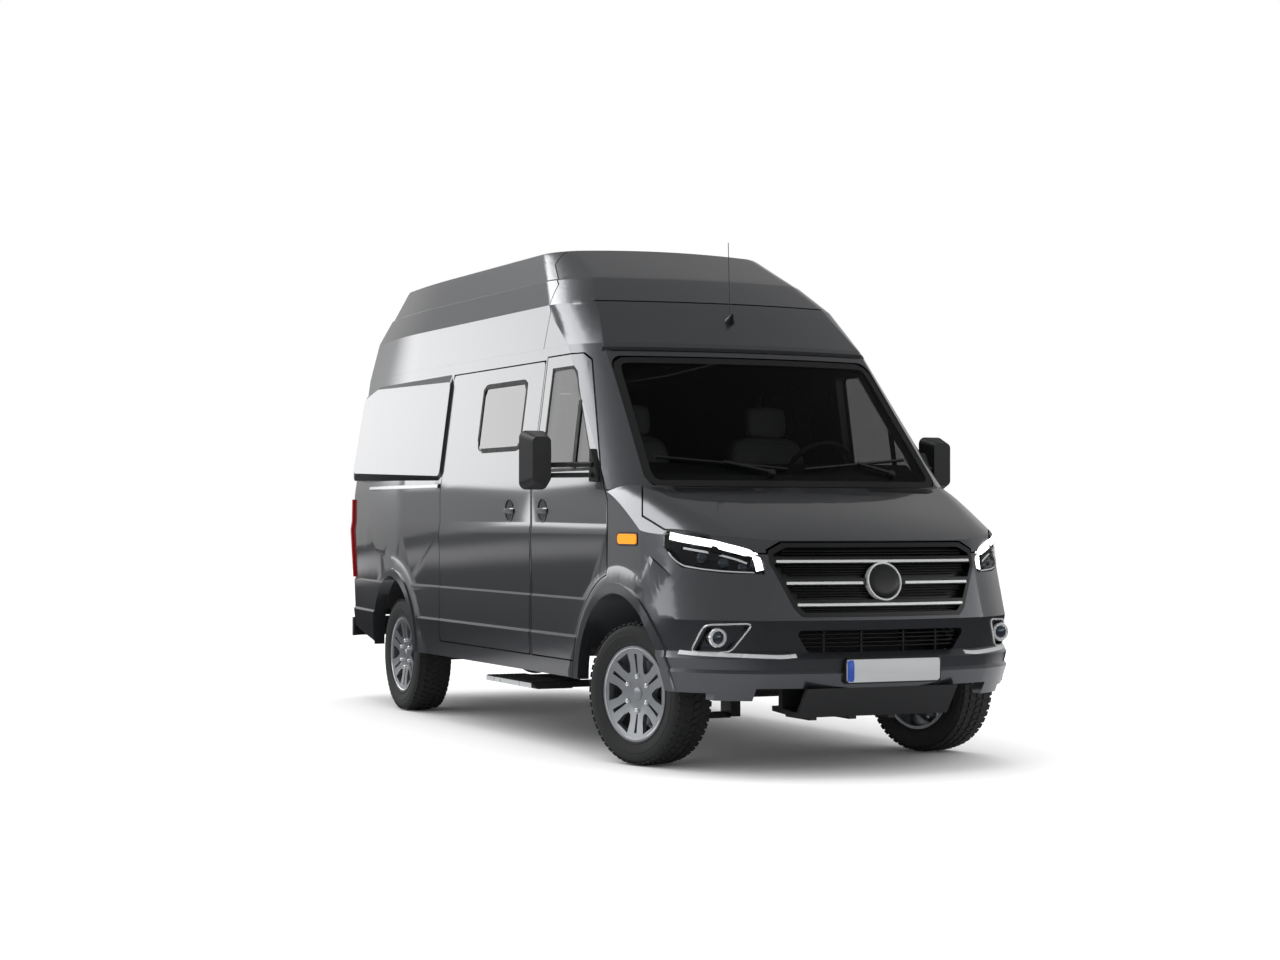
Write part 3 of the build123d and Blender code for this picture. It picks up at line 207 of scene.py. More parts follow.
# Laminated windscreen: its glint is held low, so that the seats show dimly behind it.
windscreen_glass = plain_finish("laminated_float_glass", "#020303", 0.02, alpha=0.32, specular=0.2)
# Toughened door glass: tinted grey, clear enough to look across the cab.
door_glass = plain_finish("toughened_float_glass", "#1b1c1d", 0.02, alpha=0.62)
# Double acrylic camper windows: black from outside, with a strong mirror of the studio.
# Two panes mirror twice, so the index is 2.0 instead of acrylic's 1.49.
privacy_glass = plain_finish("acrylic_camper_window_dark", "#101112", 0.04, alpha=0.97, ior=2.0)
# Moulded polycarbonate lamp cover: clear, with a bright glint.
lamp_cover = plain_finish("polycarbonate_lamp_cover", "#15181c", 0.03, alpha=0.16, ior=1.58)
# Aluminised lamp bowl, toned down: dark metal behind the lenses.
lamp_inside = plain_finish("aluminised_lamp_bezel_dark", "#1a1b1e", 0.25, metallic=0.6)
# Acrylic light guide, lit: an even white line.
lamp_white = plain_finish("light_guide_acrylic_white", "#ffffff", 0.2, glow=2.6)
# Pressed projector lens: cold glass with a bright spot.
lens_glass = plain_finish("projector_lens_glass", "#3c424a", 0.03, metallic=0.6)
# Moulded acrylic lamp colours, faintly lit from inside.
lamp_red = plain_finish("acrylic_lamp_lens_red", "#8c0b10", 0.1, ior=1.49, glow=0.15)
lamp_amber = plain_finish("acrylic_lamp_lens_amber", "#f08a12", 0.12, ior=1.49, glow=0.5)
# Chromium plate: the grille strips and rings, almost white where they meet the light.
chrome = plain_finish("chromium_plate_on_abs", "#f4f5f6", 0.12, metallic=0.7)
# Satin plate: softer and greyer, for the bumper ledge and the sliding rail.
satin_trim = plain_finish("satin_plated_trim_strip", "#cfd1d3", 0.3, metallic=0.4)
# Silvered glass: the mirrors' full reflection.
mirror_glass = plain_finish("silvered_mirror_glass", "#dfe3e6", 0.02, metallic=1.0)
# Retroreflective sheet on the blank plates: flat and pale, with a blue end.
plate_white = plain_finish("retroreflective_sheet_pale", "#9fa1a3", 0.4)
plate_blue = plain_finish("retroreflective_sheet_blue", "#1c3f93", 0.35)
print("materials:", len(bpy.data.materials))

# %% [markdown]
# The seat solids are given plain woven polyester: two crossed waves, one
# thread's spacing apart, with painted shade darkening the hollows between the
# raised threads. A mesh of threads would be far too heavy for a seat.
# Real threads are 0.5 mm, drawn 4 mm wide here so that the weave can be seen
# from a few metres.

# %% Woven cloth


def woven_cloth(name, base, light, thread_mm):
    """Plain weave: two wave patterns crossed, thread_mm from one thread to the next.

    Height is max(warp, weft), each a sine of one coordinate; the raised threads
    take the lighter colour and the hollows between them the darker one, as
    painted shade.
    """
    material, tree, output = new_material(name)
    place = node(tree, "ShaderNodeTexCoord")
    scale = math.tau / 20 / (thread_mm * MM)
    warp, weft = (node(tree, "ShaderNodeTexWave", {"Scale": scale, "Distortion": 0.6},
                       {"Vector": place.outputs["Object"]}, bands_direction=way)
                  for way in ("Y", "DIAGONAL"))
    height = node(tree, "ShaderNodeMath", None, {0: warp.outputs["Fac"], 1: weft.outputs["Fac"]},
                  operation="MAXIMUM")
    # Painted shade: the hollows between threads take the darker colour, the raised threads the lighter
    # one.
    colour = node(tree, "ShaderNodeMix", {6: hex_linear(base), 7: hex_linear(light)},
                  {0: height.outputs[0]}, data_type="RGBA")
    bump = node(tree, "ShaderNodeBump", {"Strength": 0.5, "Distance": 0.4 * MM},
                {"Height": height.outputs[0]})
    shader = node(tree, "ShaderNodeBsdfPrincipled",
                  {"Roughness": 0.9, "IOR": 1.45, "Sheen Weight": 0.3, "Sheen Roughness": 0.5},
                  {"Base Color": colour.outputs[2], "Normal": bump.outputs["Normal"]})
    tree.links.new(shader.outputs[0], output.inputs["Surface"])
    return material


# Woven polyester: soft, without shine, a light edge where it curves away,
# and painted shade in the hollows of the weave.
seat_cloth = woven_cloth("woven_polyester_seat_cloth", "#1c1d20", "#2c2e33", 4.0)
print("cloth:", seat_cloth.name)

# %% [markdown]
# Each solid of the frame is given its finish by name. Its triangles are loose,
# so modifiers dress them and leave the solid's own points as they came: Weld
# joins them, Edge Split keeps the creases sharp, and Weighted Normal lets the
# large flat faces keep their own direction where they meet the narrow faces of
# a rounded edge. A few solids get a Bevel, because light on a rounded edge is
# what makes it look moulded.

# %% Finishes by name
PAINTED = ("side_wall_left", "side_wall_right", "front_wings", "cab_frame", "high_roof",
           "side_bulges", "sliding_door", "front_door_left", "front_door_right",
           "rear_door_left", "rear_door_right", "bonnet", "front_bumper", "exterior_trim")
FINISHES = {
    paint_grey: PAINTED,
    black_grained: ("mirror_left", "mirror_right", "skid_plate", "rear_bumper", "underbody_tanks"),
    black_satin: ("grille", "dashboard", "steering_wheel"),
    seat_cloth: ("seats",),
    windscreen_glass: ("windscreen",),
    door_glass: ("door_glass_left", "door_glass_right"),
    privacy_glass: ("side_glass", "rear_glass_left", "rear_glass_right"),
    lamp_cover: ("headlamps",),
    lamp_red: ("rear_lamps",),
    tyre_rubber: ("tyre_front_left", "tyre_front_right", "tyre_rear_left", "tyre_rear_right"),
    alloy_silver: ("rim_front_left", "rim_front_right", "rim_rear_left", "rim_rear_right"),
    cast_iron: ("knuckle_front_left", "knuckle_front_right", "engine"),
    chassis_coat: ("front_subframe", "rear_axle"),
    underseal: ("floor_pan",),
}


def smooth_skin(piece, crease, bevel=0.0):
    """Weld loose triangles and split the shading where the skin folds by more than crease degrees."""
    piece.data.shade_smooth()
    weld = piece.modifiers.new("weld", "WELD")
    weld.merge_threshold = 0.00002
    if bevel:
        softened = piece.modifiers.new("rounded_edges", "BEVEL")
        softened.width = bevel
        softened.segments = 3
        softened.limit_method = "ANGLE"
        softened.angle_limit = math.radians(25)
    split = piece.modifiers.new("creases", "EDGE_SPLIT")
    split.split_angle = math.radians(crease)
    flat_first = piece.modifiers.new("large_faces_first", "WEIGHTED_NORMAL")
    flat_first.weight = 80


# Width of the rounded edges, in metres, for solids whose edges were left sharp.
BEVELS = {"mirror": 0.014, "rim": 0.0025, "dashboard": 0.012}
PAINT_CREASE, PART_CREASE = 12, 30  # degrees
for finish, names in FINISHES.items():
    for name in names:
        mesh = nodes[name].data
        mesh.materials.clear()
        mesh.materials.append(finish)
        crease = PAINT_CREASE if name in PAINTED else PART_CREASE
        smooth_skin(nodes[name], crease, BEVELS.get(name.split("_")[0], 0.0))
print("finished solids:", sum(len(names) for names in FINISHES.values()))

# %% [markdown]
# Every new piece is a list of points and a list of faces, worked out as whole
# arrays. Blender's own primitives could make many of them, but with numbers
# each piece takes its place and size from the solids that carry it. A grid of
# points needs only its two counts to know its faces. The finished piece gets
# outward faces, soft shading within creases, its material and the body that it
# rides on.

# %% From numbers to pieces
import bmesh

BOX_FACES = [(0, 1, 3, 2), (4, 5, 7, 6), (0, 1, 5, 4), (2, 3, 7, 6), (0, 2, 6, 4), (1, 3, 7, 5)]


def grid_faces(rows, columns, wrap_rows=False, wrap_columns=False):
    """Quads between neighbours of a grid of points that are numbered row by row."""
    r = np.arange(rows if wrap_rows else rows - 1)[:, None]
    c = np.arange(columns if wrap_columns else columns - 1)[None, :]
    below, beside = (r + 1) % rows, (c + 1) % columns
    quads = [r * columns + c, r * columns + beside, below * columns + beside, below * columns + c]
    return np.stack([np.broadcast_to(q, (len(r), c.shape[1])) for q in quads], -1).reshape(-1, 4)


def joined(parts):
    """One list of points and faces from several: each part's face numbers move past those before."""
    starts = np.cumsum([0] + [len(points) for points, faces in parts])
    points = np.concatenate([np.asarray(points) for points, faces in parts])
    faces = [[int(i) + start for i in face]
             for start, (part, rows) in zip(starts, parts) for face in rows]
    return points, faces


def add_piece(name, shape, finish, body="body", crease=35):
    """Mesh of points and faces, outward faces, smooth within creases, riding on a body."""
    points, faces = shape
    mesh = bpy.data.meshes.new(name)
    mesh.from_pydata(np.asarray(points).tolist(), [], [list(map(int, face)) for face in faces])
    mesh.validate()
    work = bmesh.new()
    work.from_mesh(mesh)
    bmesh.ops.recalc_face_normals(work, faces=work.faces)
    work.to_mesh(mesh)
    work.free()
    mesh.shade_smooth()
    mesh.set_sharp_from_angle(angle=math.radians(crease))
    mesh.materials.append(finish)
    piece = bpy.data.objects.new(name, mesh)
    bpy.context.scene.collection.objects.link(piece)
    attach(piece, body)
    return piece


def block(low, high):
    """Box: corner i is low or high in x, y and z by the three bits of i."""
    bits = np.array([[i & 1, i >> 1 & 1, i >> 2 & 1] for i in range(8)])
    return np.where(bits, np.asarray(high, float), np.asarray(low, float)), BOX_FACES


print("piece helpers ready")

# %% [markdown]
# Trim lies on the body skin. A Shrinkwrap modifier could press it on; rays cast
# from outside onto the solids' triangles do the same and hand back the points
# and the skin's direction as numbers, which the next steps need.

# %% Places on the skin
from mathutils.bvhtree import BVHTree

SIDES = ((-1, "right"), (1, "left"))
FROM_FRONT, FROM_REAR, FROM_ABOVE = (-1, 0, 0), (1, 0, 0), (0, 0, -1)
RAY_START = 3.0  # metres outside each place
AHEAD, BEHIND, ASIDE, ABOVE = 3.1, -3.1, 1.3, 2.5  # planes that the outlines are drawn on


def skin_of(*names):
    """Search tree over the triangles of the named solids."""
    parts = []
    for name in names:
        mesh = nodes[name].data
        mesh.calc_loop_triangles()
        points = np.empty(len(mesh.vertices) * 3)
        mesh.vertices.foreach_get("co", points)
        corners = np.empty(len(mesh.loop_triangles) * 3, int)
        mesh.loop_triangles.foreach_get("vertices", corners)
        parts.append((points.reshape(-1, 3), corners.reshape(-1, 3)))
    points, faces = joined(parts)
    return BVHTree.FromPolygons(points.tolist(), faces)


def laid(skin, places, heading, lift=0.0):
    """Points where rays through places along heading meet the skin, lifted off it, and its normals."""
    heading = Vector(heading).normalized()
    hits = [skin.ray_cast(Vector(place) - heading * RAY_START, heading) for place in places]
    found = [(hit[0], hit[1]) for hit in hits if hit[0] is not None]
    normals = np.array([n if n.dot(heading) < 0 else -n for p, n in found])
    return np.array([p for p, n in found]) + normals * lift, normals


def on_side(outline, sign):
    """(x, z) rows as places seen from the flank on the side given by sign."""
    outline = np.asarray(outline, float)
    return np.stack([outline[:, 0], np.full(len(outline), sign * ASIDE), outline[:, 1]], -1)


def on_end(outline, x=AHEAD):
    """(y, z) rows as places seen from the front or the rear."""
    outline = np.asarray(outline, float)
    return np.stack([np.full(len(outline), x), outline[:, 0], outline[:, 1]], -1)


def on_top(outline):
    """(x, y) rows as places seen from above."""
    outline = np.asarray(outline, float)
    return np.stack([outline[:, 0], outline[:, 1], np.full(len(outline), ABOVE)], -1)


def mirrored(places, sign):
    """Places given for the right side, moved to the side of sign."""
    return np.asarray(places, float) * (1, -sign, 1)


print("solids that rays can meet:", len(nodes))

# %% [markdown]
# Outlines start as a few corners in metres. They are rounded, then spaced
# evenly, so that what is laid on the skin bends with it. Bezier curves would
# draw the same lines, but their points couldn't be laid on the skin one by one.

# %% Outlines


def eased(rows, times=3):
    """Softer row of points: each inner one becomes (before + 2 itself + after) / 4, some times over."""
    rows = np.asarray(rows, float).copy()
    for _ in range(times):
        rows[1:-1] = (rows[:-2] + 2 * rows[1:-1] + rows[2:]) / 4
    return rows


def spaced(points, step, closed=False):
    """Points every step along a line through the given points."""
    points = np.asarray(points, float)
    if closed:
        points = np.vstack([points, points[:1]])
    lengths = np.linalg.norm(np.diff(points, axis=0), axis=1)
    along = np.concatenate([[0], np.cumsum(lengths)])
    count = max(2, int(math.ceil(along[-1] / step)) + 1)
    at = np.linspace(0, along[-1], count)
    if closed:
        at = at[:-1]
    return np.stack([np.interp(at, along, points[:, k]) for k in range(points.shape[1])], -1)


def rounded(points, radius, steps=6):
    """Outline whose corners are rounded: each corner P between A and B is the quadratic curve
    (1 - t)^2 S + 2 t (1 - t) P + t^2 E, where S and E lie radius from P towards A and B."""
    points = np.asarray(points, float)
    before, after = np.roll(points, 1, 0) - points, np.roll(points, -1, 0) - points
    start = points + before / np.linalg.norm(before, axis=1)[:, None] * radius
    end = points + after / np.linalg.norm(after, axis=1)[:, None] * radius
    t = np.linspace(0, 1, steps)[None, :, None]
    curve = (1 - t) ** 2 * start[:, None] + 2 * t * (1 - t) * points[:, None] + t ** 2 * end[:, None]
    return curve.reshape(-1, points.shape[1])


def shrunk(points, amount):
    """Outline moved inwards: each point moves towards the middle by amount along both axes."""
    points = np.asarray(points, float)
    low, high = points.min(0), points.max(0)
    middle, half = (low + high) / 2, (high - low) / 2
    return middle + (points - middle) * (1 - amount / half)


def box_outline(low, high, radius, step=0.02):
    """Rounded rectangle between two corners as a closed row of points."""
    corners = [(low[0], low[1]), (high[0], low[1]), (high[0], high[1]), (low[0], high[1])]
    return spaced(rounded(corners, radius), step, closed=True)


print("a 0.2 by 0.1 m outline has", len(box_outline((0, 0), (0.2, 0.1), 0.02)), "points")

# %% [markdown]
# A path of points on the skin, with the skin's own direction at each, carries
# a section along it: that one idea makes seals, bright strips, wipers, bars
# and light guides. A curve with a bevel would twist on a bent panel; here the
# section always stands upright on the skin. Wheels and round covers are
# profiles turned about an axis.

# %% Strips and turned pieces


def swept(path, normals, section, closed=False):
    """A section of (across, outward) rows carried along a path: each point is the path's point
    plus across times the sideways direction plus outward times the skin's normal."""
    path, section = np.asarray(path, float), np.asarray(section, float)
    ahead = np.roll(path, -1, 0) - np.roll(path, 1, 0)
    if not closed:
        ahead[0], ahead[-1] = path[1] - path[0], path[-1] - path[-2]
    ahead /= np.linalg.norm(ahead, axis=1)[:, None]
    across = np.cross(ahead, np.broadcast_to(normals, path.shape))
    across /= np.linalg.norm(across, axis=1)[:, None]
    outward = np.cross(across, ahead)
    points = (path[:, None] + section[None, :, :1] * across[:, None]
              + section[None, :, 1:] * outward[:, None])
    count = len(section)
    faces = grid_faces(len(path), count, closed, True).tolist()
    if not closed:
        faces += [list(range(count)), list(range((len(path) - 1) * count, len(path) * count))]
    return points.reshape(-1, 3), faces


def band(width, height, sunk=0.002):
    """Section of a flat strip with soft upper corners, its foot sunk into the skin."""
    w, c = width / 2, min(width, height) * 0.3
    return [(-w, -sunk), (-w, height - c), (-w + c, height), (w - c, height), (w, height - c), (w, -sunk)]


def round_bar(radius, sides=10):
    """Section of a round bar: radius times cosine and sine of evenly spaced angles."""
    a = np.linspace(0, 2 * math.pi, sides, endpoint=False)
    return np.stack([radius * np.cos(a), radius * np.sin(a)], -1)


def turned(profile, centre, axis, sides=48, closed_profile=False):
    """Profile rows (radius, height) turned about an axis through centre."""
    axis = Vector(axis).normalized()
    first = axis.orthogonal().normalized()
    second = axis.cross(first)
    profile = np.asarray(profile, float)
    a = np.linspace(0, 2 * math.pi, sides, endpoint=False)[:, None, None]
    points = (np.array(centre) + profile[None, :, 1:] * np.array(axis)
              + profile[None, :, :1] * (np.cos(a) * np.array(first) + np.sin(a) * np.array(second)))
    count = len(profile)
    faces = grid_faces(sides, count, True, closed_profile).tolist()
    if not closed_profile:
        faces += [list(range(0, sides * count, count)), list(range(count - 1, sides * count, count))]
    return points.reshape(-1, 3), faces


def strip_on(name, skin, places, heading, section, finish, body="body", closed=False):
    """Piece with a section carried along the line where the places land on the skin."""
    path, normals = laid(skin, places, heading)
    return add_piece(name, swept(path, normals, section, closed), finish, body)


print("section of a seal:", len(band(0.02, 0.003)), "points")

# %% [markdown]
# Windows are bonded or clamped in black rubber. A seal is a flat strip that
# follows the opening's outline on the skin, and lies half on the glass and
# half on the panel, whichever the ray meets first.

# %% Window seals
front_window = [(0.860, 1.500), (1.610, 1.500), (1.212, 2.040), (1.160, 2.075), (0.860, 2.075)]
side_window = [(-0.200, 1.640), (0.500, 1.640), (0.500, 2.025), (-0.200, 2.025)]
rear_window = [(0.130, 1.450), (0.700, 1.450), (0.655, 2.030), (0.130, 2.030)]
quarter_post = [(1.330, 1.505), (1.318, 1.880)]


def seal_line(window, inset, radius):
    """Closed line of points, one every 30 mm, inset inside a window's corners."""
    return spaced(rounded(shrunk(window, inset), radius), 0.03, closed=True)


for sign, side in SIDES:
    wall = "sliding_door" if sign < 0 else "side_wall_left"
    door, inwards = f"front_door_{side}", (0, -sign, 0)
    strip_on(f"window_seal_{side}", skin_of(wall, "side_glass"),
             on_side(seal_line(side_window, 0.002, 0.06), sign), inwards, band(0.03, 0.004, 0.006),
             rubber_seal, closed=True)
    strip_on(f"door_window_seal_{side}", skin_of(door, f"door_glass_{side}"),
             on_side(seal_line(front_window, 0.006, 0.03), sign), inwards, band(0.022, 0.003, 0.006),
             rubber_seal, door, closed=True)
    strip_on(f"quarter_light_post_{side}", skin_of(f"door_glass_{side}", door),
             on_side(spaced(quarter_post, 0.05), sign), inwards, band(0.045, 0.006), rubber_seal, door)
    tail_door = f"rear_door_{side}"
    rear = spaced(rounded(shrunk(rear_window, 0.006) * (sign, 1), 0.05), 0.03, closed=True)
    strip_on(f"rear_window_seal_{side}", skin_of(tail_door, f"rear_glass_{side}"),
             on_end(rear, BEHIND), FROM_REAR, band(0.024, 0.003, 0.006), rubber_seal, tail_door,
             closed=True)
print("window seals:", 8)

# %% [markdown]
# Around the windscreen the glue is hidden by a black border printed on the
# glass. Above it, a rubber strip closes the joint between body and high roof.

# %% Windscreen border and roof joint
glass_skin = skin_of("windscreen")
screen = [(-0.860, 1.405), (0.860, 1.405), (0.783, 2.122), (-0.783, 2.122)]
border = spaced(rounded(shrunk(screen, 0.024), 0.06), 0.04, closed=True)
strip_on("windscreen_border", glass_skin, on_end(border), FROM_FRONT, band(0.044, 0.0012, 0.001),
         rubber_seal, closed=True)
roof_joint = spaced([(-0.80, 2.160), (0.80, 2.160)], 0.05)
strip_on("roof_edge_trim", skin_of("cab_frame", "high_roof"), on_end(roof_joint), FROM_FRONT,
         band(0.026, 0.006), rubber_seal)
print("border points:", len(border))

# %% [markdown]
# The grille is a dark frame with three bars, each with a plated strip along
# it. The middle strip is broken where the round sensor cover stands. The
# strips are laid on the bars, so they follow the grille's curve across the van.

# %% Grille strips
grille_skin = skin_of("grille")
bars = ((0.824, 0.858), (0.928, 0.962), (1.032, 1.066))
broken_bar = bars[1][0]
cover_clear = 0.096


def grille_width(z):
    """Half width of the grille opening at height z, straight between its corners."""
    return float(np.interp(z, [0.80, 1.03, 1.095, 1.115], [0.445, 0.540, 0.540, 0.500]))


strips = []
for low, high in bars:
    z = low + 0.011
    half = grille_width(z)
    path, normals = laid(grille_skin, on_end(spaced([(-half, z), (half, z)], 0.03)), FROM_FRONT)
    halves = [path[:, 1] < -cover_clear, path[:, 1] > cover_clear] if low == broken_bar else [slice(None)]
    strips += [swept(path[part], normals[part], band(0.013, 0.007)) for part in halves]
add_piece("grille_bright_strips", joined(strips), chrome)
print("plated strips:", len(strips))

# %% [markdown]
# The slats are thin bars set back behind the strips, a few below each bar and
# two above the topmost one. Each repeats its bar's line, moved down and back.

# %% Grille slats
slats = []
lean = -0.25
drops = (-0.029, -0.042, -0.055, -0.068)
for low, high in bars:
    level = (low + high) / 2
    half = grille_width(level) - 0.01
    path, normals = laid(grille_skin, on_end(spaced([(-half, level), (half, level)], 0.03)), FROM_FRONT)
    for drop in drops if low < 1.0 else (*drops, 0.030, 0.043):
        inside = np.abs(path[:, 1]) < grille_width(level + drop) - 0.02
        moved = path[inside] + np.array([lean * drop - 0.030, 0, drop])
        if level + drop > 0.792:
            slats.append(swept(moved, np.array([1.0, 0, 0]), band(0.004, 0.012, 0.012)))
add_piece("grille_slats", joined(slats), black_satin)
print("slats:", len(slats))

# %% [markdown]
# A round plain cover in the middle hides the distance sensor. It is a shallow
# dome in a plated ring, both turned about the grille's own direction there.

# %% Sensor cover
centre, normal = laid(grille_skin, on_end([(0, 0.945)]), FROM_FRONT)
dome = [(0.001, 0.011), (0.05, 0.010), (0.078, 0.006), (0.090, -0.002), (0.090, -0.03)]
ring = [(0.084, 0.000), (0.088, 0.008), (0.093, 0.008), (0.097, 0.000), (0.097, -0.02), (0.084, -0.02)]
add_piece("sensor_cover", turned(dome, centre[0], normal[0]), black_satin)
add_piece("sensor_cover_ring", turned(ring, centre[0], normal[0], closed_profile=True), chrome)
print("sensor cover at", [round(float(v), 3) for v in centre[0]])

# %% [markdown]
# Small flat parts such as lenses, vents and glass are patches: rings of an
# outline, each larger than the last, are cast onto the skin and lifted, so a
# patch bends with the panel under it. Its rim goes back down into the panel.
# Cutting the shape out of the panel would work too, but the solids stay whole.

# %% Patches on the skin


def patch(skin, outline, heading, thick, sunk=0.003, rings=4):
    """Raised patch: ring k of the outline, scaled about its middle by k / rings, is laid on the
    skin and lifted by thick; the last ring drops to sunk below the skin."""
    outline = np.asarray(outline, float)
    middle = outline.mean(0)
    shares = np.array([0.02, *np.linspace(0, 1, rings + 1)[1:]])
    places = (middle + (outline - middle)[None] * shares[:, None, None]).reshape(-1, 3)
    points, normals = laid(skin, places, heading, thick)
    rim = points[-len(outline):] - normals[-len(outline):] * (thick + sunk)
    points = np.vstack([points, rim])
    faces = grid_faces(len(shares) + 1, len(outline), False, True).tolist()
    faces.append(list(range(len(outline))))
    return points, faces


print("patch helper ready")

# %% [markdown]
# A headlamp is a dark aluminised bowl behind a clear cover. Inside, a light
# guide draws the white daytime line along the upper edge and down the inner
# end, three projector lenses sit in a row, and a thin plated line follows the
# lower edge. The bowl comes first: a copy of the cover, its triangles merged,
# with every point moved 15 mm in along its own normal. A Solidify modifier
# would add walls that nothing here needs.

# %% Headlamp bowls
BOWL_DEPTH = 0.015
work = bmesh.new()
work.from_mesh(nodes["headlamps"].data)
bmesh.ops.remove_doubles(work, verts=work.verts, dist=0.0001)
bowl = bpy.data.meshes.new("headlamp_bowls")
work.to_mesh(bowl)
work.free()
points, inwards = np.empty((2, len(bowl.vertices) * 3))
bowl.vertices.foreach_get("co", points)
bowl.vertices.foreach_get("normal", inwards)
bowl.vertices.foreach_set("co", points - BOWL_DEPTH * inwards)
bowl.update()
bowl.materials.append(lamp_inside)
bowls = bpy.data.objects.new("headlamp_bowls", bowl)
bpy.context.scene.collection.objects.link(bowls)
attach(bowls, "body")
print("bowl points:", len(bowl.vertices))

# %% [markdown]
# The lines in the lamp are strips along rows of points on its cover, sunk a
# few millimetres and softened, because the cover's facets would make them
# wander. The lenses are small turned domes that face as the cover does.

# %% Light guides and lenses
lamp_skin = skin_of("headlamps")
guide = [(2.430, -0.932, 1.166), (2.478, -0.905, 1.155), (2.617, -0.788, 1.128),
         (2.725, -0.672, 1.090), (2.762, -0.625, 1.070), (2.785, -0.618, 1.000)]
lower_line = [(2.425, -0.940, 1.085), (2.455, -0.925, 1.050), (2.510, -0.895, 1.018),
              (2.600, -0.826, 1.004), (2.690, -0.752, 0.995), (2.770, -0.640, 0.990)]
inner_line = [(2.500, -0.893, 1.105), (2.617, -0.788, 1.083), (2.700, -0.705, 1.055),
              (2.735, -0.660, 1.035)]
# Name, points, depth under the cover, width of the strip and its finish.
lamp_lines = (("light_guide", guide, -0.004, 0.036, lamp_white),
              ("lamp_plated_line", lower_line, -0.005, 0.007, chrome),
              ("lamp_louvre", inner_line, -0.006, 0.010, chrome))
lenses = [(2.575, -0.830, 1.062, 0.026), (2.655, -0.750, 1.040, 0.026), (2.722, -0.680, 1.018, 0.021)]
for sign, side in SIDES:
    facing = (-0.8, -sign * 0.6, 0)
    for name, points, depth, width, finish in lamp_lines:
        rows = laid(lamp_skin, mirrored(spaced(points, 0.015), sign), facing, depth)
        path, normals = (eased(row) for row in rows)
        add_piece(f"{name}_{side}", swept(path, normals, band(width, 0.003, 0.001)), finish)
    parts = []
    for x, y, z, radius in lenses:
        centre, normal = laid(lamp_skin, mirrored([(x, y, z)], sign), facing, -0.010)
        dome = [(0.001, 0.006), (radius * 0.5, 0.005), (radius * 0.8, 0.002), (radius, -0.001),
                (radius, -0.004)]
        parts.append(turned(dome, centre[0], normal[0], 32))
    add_piece(f"projector_lenses_{side}", joined(parts), lens_glass)
print("lines a lamp:", len(lamp_lines), "lenses a lamp:", len(lenses))

# %% [markdown]
# The bumper carries a fog lamp in each corner pocket, with a plated rim round
# the pocket, and a plated strip on the ledge below it.

# %% Fog lamps and ledge strips
bumper_skin = skin_of("front_bumper")
pocket = np.array([(0.888, 0.600), (0.850, 0.738), (0.666, 0.747), (0.748, 0.604)])
ledge = np.array([(-0.925, 0.600), (-0.880, 0.595), (-0.700, 0.590), (-0.533, 0.584), (-0.470, 0.590)])
fog_x, fog_y, fog_z = 2.699, 0.800, 0.676
fog_ring = [(0.030, -0.002), (0.032, 0.005), (0.044, 0.005), (0.048, -0.004), (0.030, -0.004)]
fog_lens = [(0.001, 0.006), (0.018, 0.004), (0.031, -0.001), (0.031, -0.004)]
for sign, side in SIDES:
    rim = spaced(rounded(pocket * (sign, 1), 0.03), 0.012, closed=True)
    strip_on(f"fog_pocket_rim_{side}", bumper_skin, on_end(rim), FROM_FRONT, band(0.008, 0.005),
             chrome, closed=True)
    fog = (fog_x, sign * fog_y, fog_z)
    add_piece(f"fog_lamp_ring_{side}", turned(fog_ring, fog, (1, 0, 0), 40, closed_profile=True), chrome)
    add_piece(f"fog_lamp_lens_{side}", turned(fog_lens, fog, (1, 0, 0), 32), lens_glass)
    path, normals = laid(bumper_skin, on_end(spaced(ledge * (-sign, 1), 0.02)), FROM_FRONT)
    add_piece(f"bumper_ledge_strip_{side}", swept(eased(path), eased(normals), band(0.024, 0.005)),
              satin_trim)
print("fog lamps at", fog_x, fog_y, fog_z)

# %% [markdown]
# The lower intake is an opening with dark fins across it. They repeat the
# bumper's own curve above the opening, set 50 mm back, and four short posts
# tie them together.

# %% Intake fins
row = spaced([(-0.43, 0.735), (0.43, 0.735)], 0.04)
lip, _ = laid(bumper_skin, on_end(row), FROM_FRONT)
fins = []
for z in (0.632, 0.652, 0.672, 0.692):
    path = lip * (1, 1, 0) + np.array([-0.050, 0, z])
    fins.append(swept(path, np.array([1.0, 0, 0]), band(0.006, 0.012, 0.010)))
for y in (-0.30, -0.10, 0.10, 0.30):
    at = path[int(np.argmin(np.abs(path[:, 1] - y)))]
    fins.append(block(at + (-0.012, -0.004, -0.085), at + (0.004, 0.004, 0.012)))
add_piece("intake_fins", joined(fins), black_satin)
print("fins and posts:", len(fins))

# %% [markdown]
# A number plate is a flat pressed board in a black holder. It stays flat where
# the bumper curves, so it stands at the foremost point of the skin behind it.
# Here it is blank, with a plain blue end.

# %% Number plate


def plate_shape(x_back, x_face, y, z, half, tall, radius, outward=1):
    """Rounded board: its outline at x_back, at x_face and, 1.5 mm smaller, 1 mm further out."""
    outline = box_outline((-half, -tall), (half, tall), radius)
    smaller = outline * (1 - 0.0015 / half, 1 - 0.0015 / tall)
    rings = [on_end(ring + (y, z), x) for ring, x in
             ((outline, x_back), (outline, x_face), (smaller, x_face + outward * 0.001))]
    count = len(outline)
    faces = grid_faces(3, count, False, True).tolist()
    return np.concatenate(rings), faces + [list(range(count)), list(range(2 * count, 3 * count))]


